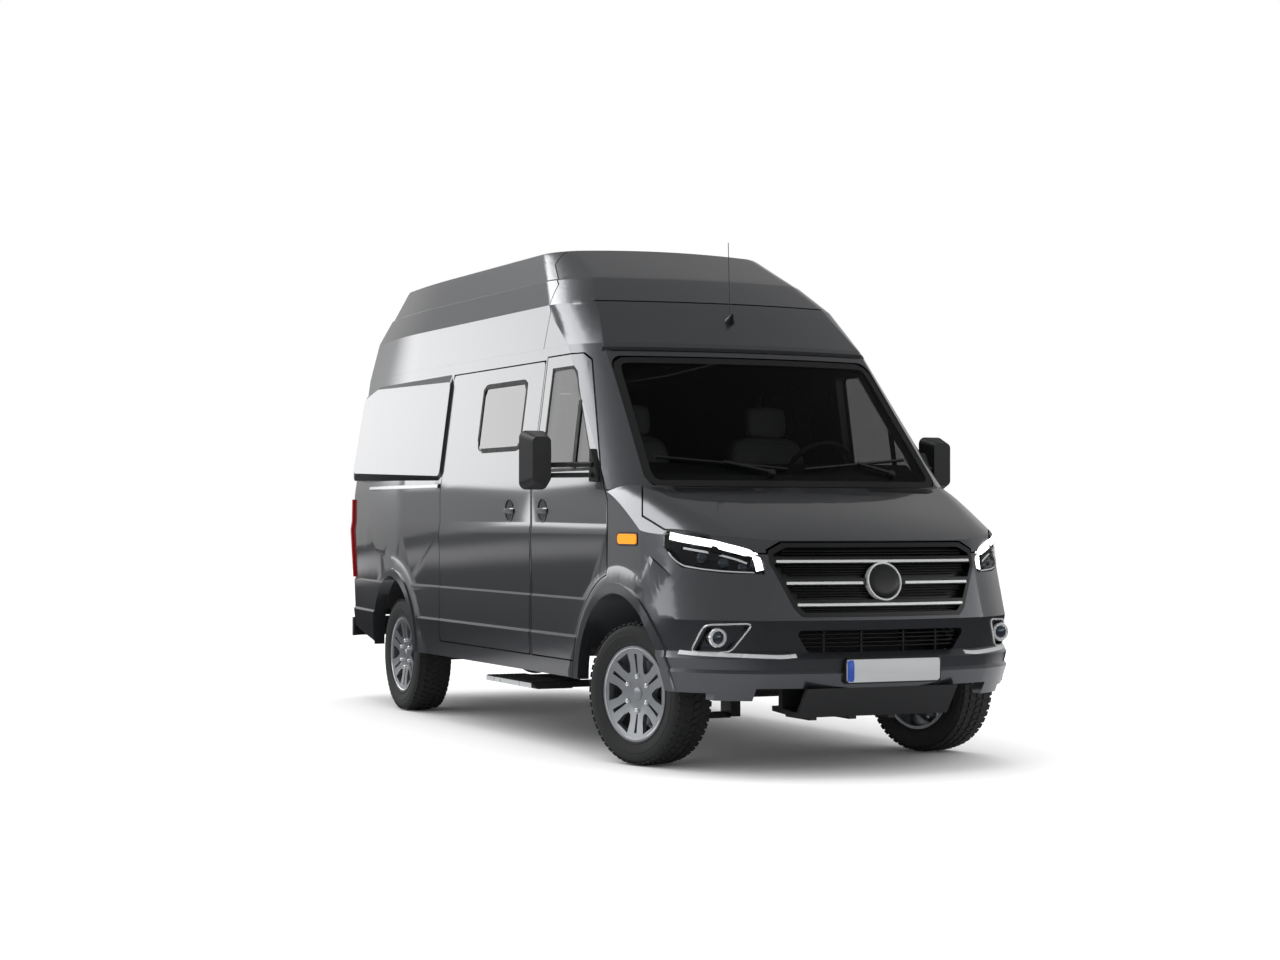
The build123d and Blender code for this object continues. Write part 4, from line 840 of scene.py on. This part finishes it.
plate_y, plate_z, plate_half, plate_tall = 0.02, 0.5165, 0.260, 0.055
field = np.stack(np.meshgrid(np.linspace(-0.27, 0.27, 19) + plate_y,
                             np.linspace(-0.06, 0.06, 9) + plate_z), -1)
seat, _ = laid(bumper_skin, on_end(field.reshape(-1, 2)), FROM_FRONT)
plate_x = float(seat[:, 0].max())
add_piece("number_plate_holder",
          plate_shape(plate_x - 0.050, plate_x - 0.0005, plate_y, plate_z, plate_half + 0.007,
                      plate_tall + 0.007, 0.012), black_satin)
add_piece("number_plate_blank",
          plate_shape(plate_x - 0.003, plate_x + 0.0014, plate_y, plate_z, plate_half, plate_tall,
                      0.010), plate_white)
add_piece("number_plate_strip",
          plate_shape(plate_x - 0.001, plate_x + 0.0020, plate_y - plate_half + 0.022, plate_z, 0.020,
                      plate_tall - 0.002, 0.006), plate_blue)
print("plate at x =", round(plate_x, 4))

# %% [markdown]
# On the flank of each wing sits an amber side indicator in a thin dark frame.

# %% Side indicators
wing_skin = skin_of("front_wings")
for sign, side in SIDES:
    inwards = (0, -sign, 0)
    lens = on_side(box_outline((1.965, 1.122), (2.195, 1.172), 0.016), sign)
    add_piece(f"side_indicator_{side}", patch(wing_skin, lens, inwards, 0.006), lamp_amber)
    frame_line = on_side(box_outline((1.957, 1.115), (2.203, 1.179), 0.018), sign)
    strip_on(f"side_indicator_frame_{side}", wing_skin, frame_line, inwards, band(0.008, 0.003),
             black_satin, closed=True)
print("side indicators:", len(SIDES))

# %% [markdown]
# A door handle is a bar across a round cup that leaves room for the fingers.
# The cup is a turned dish, and the bar a section carried along a bowed line
# whose height falls with the fourth power of the distance from its middle.

# %% Door handles
handle_z, grip_half = 1.290, 0.072
dish = [(0.001, -0.0215), (0.048, -0.0215), (0.056, -0.012), (0.058, 0.002), (0.064, 0.003),
        (0.066, -0.001)]
bar_section = [(-0.014, -0.010), (-0.016, -0.002), (-0.010, 0.004), (0.010, 0.004), (0.016, -0.002),
               (0.014, -0.010)]
# Place along the van, side, the panel's solid, the name to give and the body that it rides on.
cups = ((0.922, -1, "front_door_right", "front_door_right", "front_door_right"),
        (0.922, 1, "front_door_left", "front_door_left", "front_door_left"),
        (0.417, -1, "sliding_door", "sliding_door_right", "body"))
for x, sign, solid, name, body in cups:
    ends, normals = laid(skin_of(solid), on_side([(x, handle_z + 0.075), (x, handle_z - 0.075)], sign),
                         (0, -sign, 0))
    centre = ends.mean(0)
    add_piece(f"handle_cup_{name}", turned(dish, centre, normals[0], 40), black_satin, body)
    grip = spaced([(x - grip_half, handle_z), (x + grip_half, handle_z)], 0.012)
    bow = 0.014 - 0.012 * ((grip[:, 0] - x) / grip_half) ** 4
    path = np.stack([grip[:, 0], centre[1] + sign * bow, grip[:, 1]], -1)
    add_piece(f"handle_bar_{name}", swept(path, np.array([0.0, sign, 0.0]), bar_section), paint_grey, body)
print("handle cups:", len(cups))

# %% [markdown]
# The sliding door runs on a rail with a bright strip. The mirrors get their
# glass, and the side step a ribbed tread with a bright edge.

# %% Rail strip, mirror glass and step
rail = spaced([(-2.285, 1.4445), (-0.803, 1.4445)], 0.05)
strip_on("sliding_rail_strip", skin_of("exterior_trim", "side_wall_right"), on_side(rail, -1),
         (0, 1, 0), band(0.018, 0.003), satin_trim)
for sign, side in SIDES:
    glass = on_end(box_outline((1.152, 1.425), (1.284, 1.690), 0.03) * (sign, 1), -3.0)
    add_piece(f"mirror_glass_{side}", patch(skin_of(f"mirror_{side}"), glass, FROM_REAR, 0.001),
              mirror_glass, f"front_door_{side}")
ridges = [block((-0.085, y - 0.006, 0.329), (0.625, y + 0.006, 0.333))
          for y in np.arange(-0.935, -0.71, 0.024)]
add_piece("side_step_tread", joined(ridges), black_satin)
add_piece("side_step_edge", block((-0.088, -0.9515, 0.300), (0.628, -0.9480, 0.326)), satin_trim)
print("step ridges:", len(ridges))

# %% [markdown]
# The bonnet has two air vents near the windscreen. Their rear edge runs
# along the bonnet's own rear arc, and three slats lie across each. The hollow
# under each is painted shade: a thin raised patch in black plastic that reads
# as an opening, and the bonnet stays whole.

# %% Bonnet vents
bonnet_skin = skin_of("bonnet")
edge_radius, edge_middle, edge_gap = 2.376, 2.152, 0.014
across = np.linspace(0.30, 0.78, 14)
rear_edge = edge_middle - (edge_radius - np.sqrt(edge_radius ** 2 - across ** 2)) + edge_gap
depth = np.interp(across, [0.30, 0.34, 0.72, 0.78], [0.030, 0.052, 0.075, 0.045])
vent = np.vstack([np.stack([rear_edge, across], -1), np.stack([rear_edge + depth, across], -1)[::-1]])
for sign, side in SIDES:
    # Painted shade: a black patch stands for the dark hollow of the vent's opening.
    add_piece(f"bonnet_vent_{side}", patch(bonnet_skin, on_top(vent * (1, sign)), FROM_ABOVE, 0.0015),
              black_grained, "bonnet")
    slats = []
    for share in (0.2, 0.5, 0.8):
        row = np.stack([rear_edge + depth * share, across * sign], -1)[1:-1]
        path, normals = laid(bonnet_skin, on_top(row), FROM_ABOVE, 0.0005)
        slats.append(swept(path, normals, band(0.007, 0.005)))
    add_piece(f"bonnet_vent_slats_{side}", joined(slats), black_satin, "bonnet")
print("vent width:", round(float(across[-1] - across[0]), 3))

# %% [markdown]
# Each wiper is a rubber blade on the glass, an arm above it that curves to the
# blade's middle, and a round foot where the arm turns.

# %% Wipers
# Blade's start and end and the arm's foot, as places across and up the glass.
wipers = (((-0.760, 1.560), (-0.080, 1.500), (-0.180, 1.478)),
          ((0.020, 1.500), (0.700, 1.560), (0.560, 1.478)))
for index, corners in enumerate(wipers):
    start, end, pivot = np.array(corners)
    path, normals = laid(glass_skin, on_end(spaced([start, end], 0.03)), FROM_FRONT, 0.004)
    blade = swept(path, normals, band(0.010, 0.014, 0.003))
    bend = pivot * 0.4 + (start + end) * 0.3
    path, normals = laid(glass_skin, on_end(spaced([pivot, bend, (start + end) / 2], 0.03)),
                         FROM_FRONT, 0.016)
    arm = swept(path, normals, band(0.016, 0.010, 0.001))
    base, normal = laid(glass_skin, on_end([pivot]), FROM_FRONT)
    foot = turned([(0.001, 0.026), (0.018, 0.024), (0.022, 0.016), (0.022, -0.004)], base[0],
                  normal[0], 20)
    add_piece(f"wiper_{index + 1}", joined([blade, arm, foot]), black_satin)
print("wipers:", len(wipers))

# %% [markdown]
# A whip aerial stands on the roof's front, above the windscreen: a rubber foot
# and a thin rod that leans back a little.

# %% Aerial
base, normal = laid(skin_of("cab_frame", "high_roof"), [(1.207, 0, 3.0)], FROM_ABOVE)
root = base[0]
rubber_foot = [(0.001, 0.050), (0.008, 0.048), (0.013, 0.030), (0.024, 0.012), (0.030, -0.004)]
add_piece("aerial_base", turned(rubber_foot, root, normal[0], 28), black_satin)
whip_top = min(root[2] + 0.44, 2.79)
whip = np.stack([root[0] - 0.02 * np.linspace(0, 1, 12), np.zeros(12),
                 np.linspace(root[2] + 0.03, whip_top, 12)], -1)
add_piece("aerial_whip", swept(whip, np.array([0.0, 1.0, 0.0]), round_bar(0.0022, 8)), black_satin)
print("aerial root:", [round(float(v), 3) for v in root])

# %% [markdown]
# A tyre is vulcanised rubber: sidewalls with raised rings, rounded shoulders
# and a tread of separate blocks. The body is one profile turned about the
# axle. An Array modifier could bend a row of blocks round the crown, one object
# for each row; here all rows are computed at once into one mesh. Every second
# row stands half a pitch on, and the middle rows are skewed against each other.

# %% Tyre shape
# Radius and distance from the tyre's middle plane, from the bead out to the crown.
TYRE_PROFILE = [(0.2365, 0.096), (0.244, 0.108), (0.252, 0.112), (0.256, 0.109), (0.285, 0.117),
                (0.300, 0.1185), (0.304, 0.1165), (0.318, 0.1175), (0.336, 0.113), (0.347, 0.104),
                (0.354, 0.090), (0.3565, 0.060), (0.3575, 0.020)]
# Distance from the middle plane, width, phase, skew and head radius of each row of blocks.
TREAD_ROWS = [(-0.094, 0.030, 0.0, 0.10, 0.356), (-0.050, 0.036, 0.5, 0.35, 0.3635),
              (0.0, 0.034, 0.0, -0.35, 0.3638), (0.050, 0.036, 0.5, 0.35, 0.3635),
              (0.094, 0.030, 0.0, -0.10, 0.356)]
BLOCKS_A_ROW = 56
BLOCK_FOOT = 0.349


def tread_blocks(centre, axis, count=BLOCKS_A_ROW):
    """Rows of blocks: block i of a row stands at angle 2 pi (i + phase) / count, its foot at 349 mm
    and its head at the row's radius, with its ends skewed along the crown by skew times its width."""
    axis = np.array(Vector(axis).normalized())
    upright = np.array([0.0, 0.0, 1.0])
    ahead = np.cross(axis, upright)
    pitch = 2 * np.pi / count
    corner = np.array([(e, w, h) for h in (0, 1) for w in (-0.5, 0.5) for e in (-0.36, 0.36)])
    shrink = np.where(corner[:, 2] > 0, 0.88, 1.0)
    faces = (np.array(BOX_FACES)[None] + 8 * np.arange(count)[:, None, None]).reshape(-1, 4).tolist()
    parts = []
    for offset, width, phase, skew, head in TREAD_ROWS:
        angle = pitch * (np.arange(count) + phase)
        turn = angle[:, None] + pitch * (corner[None, :, 0] * shrink + skew * corner[None, :, 1])
        radius = np.where(corner[:, 2] > 0, head, BLOCK_FOOT)[None, :]
        along = offset + corner[None, :, 1] * width * shrink
        outward = np.cos(turn)[..., None] * upright + np.sin(turn)[..., None] * ahead
        points = np.array(centre) + along[..., None] * axis + radius[..., None] * outward
        parts.append((points.reshape(-1, 3), faces))
    return joined(parts)


print("tread blocks a tyre:", BLOCKS_A_ROW * len(TREAD_ROWS))

# %% [markdown]
# The front wheels stand steered, so each wheel's middle and axle direction are
# measured on its solid: a tyre is flattest along its axle, and the last
# direction of a singular value decomposition finds that.

# %% Where the wheels stand


def hub_of(name):
    """Middle of a wheel's solid and its level outward direction, read from its vertices."""
    mesh = nodes[f"tyre_{name}"].data
    points = np.empty(len(mesh.vertices) * 3)
    mesh.vertices.foreach_get("co", points)
    points = points.reshape(-1, 3)
    middle = (points.min(0) + points.max(0)) / 2
    _, _, axes = np.linalg.svd(points - points.mean(0), full_matrices=False)
    axis = axes[2] * (1 if axes[2][1] * middle[1] > 0 else -1)
    axis[2] = 0
    return middle, axis / np.linalg.norm(axis)


WHEELS = ("front_left", "front_right", "rear_left", "rear_right")
hubs = {name: hub_of(name) for name in WHEELS}
for name, (centre, axis) in hubs.items():
    print(name, [round(float(v), 3) for v in centre], [round(float(v), 3) for v in axis])

# %% [markdown]
# The rubber replaces each tyre's plain solid. The wheel then gets six bright
# bolt caps, a plain centre cap, a bright outer lip, and a brake disc that shows
# between the spokes. All are turned profiles.

# %% Tyres and wheel fittings
BOLTS, BOLT_CIRCLE = 6, 0.085
bolt_cap = [(0.001, 0.014), (0.008, 0.0135), (0.0115, 0.010), (0.0125, -0.006)]
centre_cap = [(0.001, 0.004), (0.020, 0.0035), (0.030, 0.001), (0.0325, -0.003)]
outer_lip = [(0.2285, 0.096), (0.229, 0.103), (0.2345, 0.105), (0.2375, 0.101), (0.2370, 0.094)]
disc = [(0.075, -0.020), (0.150, -0.020), (0.152, -0.024), (0.150, -0.040), (0.075, -0.040)]
half_tyre = np.array(TYRE_PROFILE)
whole_tyre = np.vstack([half_tyre, (half_tyre * (1, -1))[::-1]])
for name, (centre, axis) in hubs.items():
    body = f"wheel_{name}"
    rubber = [turned(whole_tyre, centre, axis, 112, closed_profile=True), tread_blocks(centre, axis)]
    tyre = add_piece(f"tyre_rubber_{name}", joined(rubber), tyre_rubber, body, crease=28)
    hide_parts(f"tyre_{name}")
    rim_skin = skin_of(f"rim_{name}")
    across = np.cross(axis, (0, 0, 1))
    turn = np.radians(360 / BOLTS * np.arange(BOLTS))[:, None]
    bolts = centre + BOLT_CIRCLE * (np.cos(turn) * np.array([0, 0, 1]) + np.sin(turn) * across)
    seats, _ = laid(rim_skin, bolts, -axis)
    caps = [turned(bolt_cap, seat, axis, 12) for seat in seats]
    add_piece(f"bolt_caps_{name}", joined(caps), chrome, body)
    hub, _ = laid(rim_skin, [centre], -axis)
    add_piece(f"centre_cap_{name}", turned(centre_cap, hub[0], axis, 32), alloy_silver, body)
    add_piece(f"rim_lip_{name}", turned(outer_lip, centre, axis, 96, closed_profile=True), chrome, body)
    add_piece(f"brake_disc_{name}", turned(disc, centre, axis, 64, closed_profile=True), cast_iron, body)
print("wheels dressed:", len(hubs))

# %% [markdown]
# Each red tail lamp has a pale reversing field and an amber indicator. Hinges
# show at the rear doors' outer edges. The left door carries a blank plate, the
# right one the handle.

# %% Tail
tail_skin = skin_of("rear_lamps")
# Name, lower and upper edge and finish of the lamp's fields; places of the hinges.
lamp_fields = (("reversing", 0.88, 0.98, plate_white), ("indicator", 1.01, 1.11, lamp_amber))
field_in, field_out = 0.850, 0.893
hinge_places = ((0.775, 0.90), (0.780, 1.34), (0.705, 2.04))
hinge_half = np.array([0, 0.030, 0.022])
for sign, side in SIDES:
    for part, low, high, finish in lamp_fields:
        outline = box_outline((field_in, low), (field_out, high), 0.008, 0.015) * (sign, 1)
        add_piece(f"tail_lamp_{part}_{side}",
                  patch(tail_skin, on_end(outline, BEHIND), FROM_REAR, 0.002), finish)
    door = f"rear_door_{side}"
    feet, _ = laid(skin_of(door), on_end(np.array(hinge_places) * (sign, 1), BEHIND), FROM_REAR)
    leaves = [block(foot - hinge_half - (0.003, 0, 0), foot + hinge_half + (0.006, 0, 0)) for foot in feet]
    add_piece(f"rear_hinges_{side}", joined(leaves), black_satin, door)

foot, _ = laid(skin_of("rear_door_left"), on_end([(0.33, 0.93)], BEHIND), FROM_REAR)
x_rear = float(foot[0][0])
add_piece("rear_plate_blank",
          plate_shape(x_rear + 0.006, x_rear - 0.003, 0.36, 0.93, plate_half, plate_tall, 0.01, -1),
          plate_white, "rear_door_left")
grip = on_end(box_outline((-0.135, 1.245), (-0.045, 1.295), 0.012), BEHIND)
add_piece("rear_door_handle", patch(skin_of("rear_door_right"), grip, FROM_REAR, 0.006), black_satin,
          "rear_door_right")
print("rear plate at x =", round(x_rear, 3))

# %% [markdown]
# The two cab seats are foam under coated leather: a cushion, a tall backrest
# and a headrest each. A crowned block does this: a rounded box whose faces
# swell towards their middles and whose sides pull in between the corners. Cloth
# under pressure is the other way to puff a cushion; these are half hidden
# behind dark glass, where the formula looks as round and is the same each run.

# %% Crowned pads


def crowned_pad(centre, half, crown, lean=0.0, steps=28, square=5.0):
    """Padded block: direction d on a unit cube's surface is scaled onto the rounded box
    |x|^n + |y|^n + |z|^n = 1, stretched to half, and swollen by crown where a face is in its middle."""
    line = np.linspace(-1, 1, steps)
    u, v = (a.ravel() for a in np.meshgrid(line, line, indexing="ij"))
    one = np.ones_like(u)
    cube = ((one, u, v), (-one, u, v), (u, one, v), (u, -one, v), (u, v, one), (u, v, -one))
    parts = []
    for side in (np.stack(rows, -1) for rows in cube):
        unit = side / (np.abs(side) ** square).sum(1)[:, None] ** (1 / square)
        bulge = np.prod(np.cos(side * math.pi / 2 * 0.9) + (np.abs(side) == 1), 1)[:, None]
        points = unit * np.array(half) * (1 + np.array(crown) * bulge)
        points[:, 0] -= lean * (points[:, 2] + half[2])
        parts.append((points + np.array(centre), grid_faces(steps, steps).tolist()))
    return joined(parts)


def seat_piece(name, pad):
    """One closed, smooth leather piece: the doubles where the pad's six faces meet are merged."""
    piece = add_piece(name, pad, seat_leather, "body", 60)
    work = bmesh.new()
    work.from_mesh(piece.data)
    bmesh.ops.remove_doubles(work, verts=work.verts, dist=0.0005)
    bmesh.ops.recalc_face_normals(work, faces=work.faces)
    work.to_mesh(piece.data)
    work.free()
    piece.data.shade_smooth()
    return piece


print("a pad has", len(crowned_pad((0, 0, 0), (1, 1, 1), (0, 0, 0))[0]), "points before merging")

# %% [markdown]
# Each seat stands on a plinth. The backrest leans back by 16 mm in 100, and
# the headrest by half of that. Piping runs round the cushion where its covers
# are sewn together. The cushion takes the place of the seats' plain solid.

# %% Seats
cushion_top = 1.120
plinths = []
for y, side in ((-0.43, "right"), (0.43, "left")):
    cushion = seat_piece(f"seat_cushion_{side}",
                         crowned_pad((1.045, y, 1.118), (0.255, 0.245, 0.068), (0.02, 0.02, 0.10)))
    back = seat_piece(f"seat_back_{side}",
                      crowned_pad((0.865, y, 1.440), (0.058, 0.232, 0.270), (0.12, 0.02, 0.02), 0.16))
    head = seat_piece(f"headrest_{side}",
                      crowned_pad((0.800, y, 1.800), (0.038, 0.120, 0.085), (0.1, 0.03, 0.03), 0.08))
    plinths.append(block((0.84, y - 0.20, 0.686), (1.24, y + 0.20, 1.055)))
    edge = box_outline((0.80, y - 0.235), (1.292, y + 0.235), 0.05)
    seam = np.stack([edge[:, 0], edge[:, 1], np.full(len(edge), cushion_top)], -1)
    add_piece(f"seat_piping_{side}", swept(seam, np.array([0.0, 0, 1.0]), round_bar(0.004, 6), True),
              black_satin)
    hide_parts("seats")
add_piece("seat_plinths", joined(plinths), black_satin)
print("seats dressed:", len(plinths))

# %% [markdown]
# The van stands on a pale matt floor. What shines would mirror all of it and
# lose its dark lower edge, so to mirrored light the floor is dark, with a pale
# spot under the van that lifts the bumper's lower lip, and a pale ring far out
# that lifts the flanks at belt height.

# %% Floor
FLOOR_REACH = 40.0
# Distance from the middle at which a zone is dark and at which it is pale, in metres.
SPOT, RING_START, RING_END = (4.4, 3.2), (21.0, 27.0), (36.0, 29.0)


def stage_floor():
    """Wide matt floor: pale = max(spot, ring start * ring end), each a smooth step of the distance."""
    material, tree, output = new_material("painted_studio_floor_pale")
    place = node(tree, "ShaderNodeTexCoord")
    cloud = node(tree, "ShaderNodeTexNoise", {"Scale": 1 / (900 * MM), "Detail": 2.0},
                 {"Vector": place.outputs["Object"]})
    rough = node(tree, "ShaderNodeMapRange", {"To Min": 0.85, "To Max": 0.95},
                 {"Value": cloud.outputs["Fac"]})
    light = node(tree, "ShaderNodeBsdfPrincipled",
                 {"Base Color": hex_linear("#f4f4f4"), "Specular IOR Level": 0.1},
                 {"Roughness": rough.outputs["Result"]})
    away = node(tree, "ShaderNodeVectorMath", None, {0: place.outputs["Object"]}, operation="LENGTH")
    near, far, end = (node(tree, "ShaderNodeMapRange", {"From Min": dark_at, "From Max": pale_at},
                           {"Value": away.outputs["Value"]}, interpolation_type="SMOOTHSTEP")
                      for dark_at, pale_at in (SPOT, RING_START, RING_END))
    ring = node(tree, "ShaderNodeMath", None, {0: far.outputs[0], 1: end.outputs[0]},
                operation="MULTIPLY")
    pale = node(tree, "ShaderNodeMath", None, {0: near.outputs[0], 1: ring.outputs[0]},
                operation="MAXIMUM")
    sheen = node(tree, "ShaderNodeMix", {6: hex_linear("#1e1e20"), 7: hex_linear("#b0b0b2")},
                 {0: pale.outputs[0]}, data_type="RGBA")
    dark = node(tree, "ShaderNodeBsdfDiffuse", None, {"Color": sheen.outputs[2]})
    path = node(tree, "ShaderNodeLightPath")
    mixed = node(tree, "ShaderNodeMixShader", None,
                 {0: path.outputs["Is Glossy Ray"], 1: light.outputs[0], 2: dark.outputs[0]})
    tree.links.new(mixed.outputs[0], output.inputs["Surface"])
    reach = FLOOR_REACH
    mesh = bpy.data.meshes.new("studio_floor")
    mesh.from_pydata([(-reach, -reach, 0), (reach, -reach, 0), (reach, reach, 0), (-reach, reach, 0)],
                     [], [(0, 1, 2, 3)])
    mesh.materials.append(material)
    floor = bpy.data.objects.new("studio_floor", mesh)
    bpy.context.scene.collection.objects.link(floor)


stage_floor()
print("floor reaches", FLOOR_REACH, "m each way")

# %% [markdown]
# The studio is a world of light in three parts. The camera sees plain white.
# Matt surfaces get even light. What shines sees a dim grey room with a long
# bright box low down, which draws the bright band along the flank, a box high
# up for the roof's shoulder, and a faint ring all round just over the horizon.

# %% Studio light from all round


def studio_world():
    """White to the camera, even light on matt surfaces, and long boxes for what shines.

    A box is a product of smooth steps of the direction's X, Y and Z. The low one also
    needs X * Y to be large, so it stands at the front left and at the rear right."""
    world = bpy.data.worlds.new("studio")
    bpy.context.scene.world = world
    world.use_nodes = True
    tree = world.node_tree
    tree.nodes.clear()
    place = node(tree, "ShaderNodeTexCoord")
    parts = node(tree, "ShaderNodeSeparateXYZ", None, {0: place.outputs["Generated"]})

    def smooth(source, start, end):
        return node(tree, "ShaderNodeMapRange", {"From Min": start, "From Max": end},
                    {"Value": source}, interpolation_type="SMOOTHSTEP").outputs[0]

    def step(axis, start, end):
        return smooth(parts.outputs[axis], start, end)

    def times(first, second):
        return node(tree, "ShaderNodeMath", None, {0: first, 1: second},
                    operation="MULTIPLY").outputs[0]

    def plus(first, second, share):
        return node(tree, "ShaderNodeMath", {1: share}, {0: first, 2: second},
                    operation="MULTIPLY_ADD").outputs[0]

    corner = times(parts.outputs["X"], parts.outputs["Y"])
    low_box = times(times(step("Z", 0.04, 0.09), step("Z", 0.24, 0.17)), smooth(corner, 0.13, 0.26))
    high_box = times(times(step("Z", 0.40, 0.50), step("Z", 0.95, 0.88)),
                     times(step("Y", -0.08, -0.20), step("X", -0.36, -0.46)))
    ring = times(step("Z", 0.02, 0.10), step("Z", 0.34, 0.24))
    room = node(tree, "ShaderNodeMapRange",
                {"From Min": 0.0, "From Max": 1.0, "To Min": 0.34, "To Max": 0.20},
                {"Value": parts.outputs["Z"]}).outputs[0]
    strength = plus(low_box, plus(high_box, plus(ring, room, 0.12), 4.0), 2.2)
    path = node(tree, "ShaderNodeLightPath")
    seen = node(tree, "ShaderNodeBackground", {"Color": (1, 1, 1, 1), "Strength": 1.0})
    matt = node(tree, "ShaderNodeBackground", {"Color": (1, 1, 1, 1), "Strength": 1.22})
    shine = node(tree, "ShaderNodeBackground", {"Color": (1, 1, 1, 1)}, {"Strength": strength})
    lit = node(tree, "ShaderNodeMixShader", None,
               {0: path.outputs["Is Diffuse Ray"], 1: shine.outputs[0], 2: matt.outputs[0]})
    mixed = node(tree, "ShaderNodeMixShader", None,
                 {0: path.outputs["Is Camera Ray"], 1: lit.outputs[0], 2: seen.outputs[0]})
    output = tree.nodes.new("ShaderNodeOutputWorld")
    tree.links.new(mixed.outputs[0], output.inputs["Surface"])


studio_world()
print("world:", bpy.context.scene.world.name)

# %% [markdown]
# One large soft light overhead gives the matt parts a top side and the floor
# its shadow. It is hidden from mirrored light, because it would show in the
# windscreen as a white sheet.

# %% Overhead light
softbox = bpy.data.lights.new("overhead_softbox", "AREA")
softbox.shape = "RECTANGLE"
softbox.size, softbox.size_y = 9, 6
softbox.energy = 350
lamp = bpy.data.objects.new("overhead_softbox", softbox)
lamp.location = (0, 0, 9)
lamp.visible_glossy = False
bpy.context.scene.collection.objects.link(lamp)
print("overhead light:", softbox.energy, "W")

# %% [markdown]
# A long lens from the front right corner, at about the height of the bonnet,
# keeps the van's lines nearly parallel. The camera's turn is built up from its
# looking direction, given by two angles, and a small roll about it. An empty
# to track would do as well, but could not hold the roll.

# %% Camera
CAMERA_PLACE = (12.8826, -5.7716, 1.2621)
AZIMUTH, ELEVATION, ROLL = (math.radians(a) for a in (-24.119, -0.877, 0.078))
SENSOR_MM, FOCAL_SHARE = 36.0, 2350.0 / 1280.0  # focal length as a share of the sensor's width


def fitted_camera():
    """Camera 14 m off the front right corner at 1.26 m, looking nearly level, 66 mm lens."""
    look = -Vector((math.cos(AZIMUTH) * math.cos(ELEVATION),
                    math.sin(AZIMUTH) * math.cos(ELEVATION), math.sin(ELEVATION)))
    level = look.cross(Vector((0, 0, 1))).normalized()
    upright = level.cross(look)
    right = level * math.cos(ROLL) + upright * math.sin(ROLL)
    up = -level * math.sin(ROLL) + upright * math.cos(ROLL)
    data = bpy.data.cameras.new("camera")
    data.sensor_width = SENSOR_MM
    data.lens = SENSOR_MM * FOCAL_SHARE
    camera = bpy.data.objects.new("camera", data)
    turn = Matrix((right, up, -look)).transposed().to_4x4()
    camera.matrix_world = Matrix.Translation(Vector(CAMERA_PLACE)) @ turn
    bpy.context.scene.collection.objects.link(camera)
    bpy.context.scene.camera = camera


fitted_camera()
bpy.context.scene.view_settings.view_transform = "Standard"
print("lens:", round(SENSOR_MM * FOCAL_SHARE, 1), "mm")
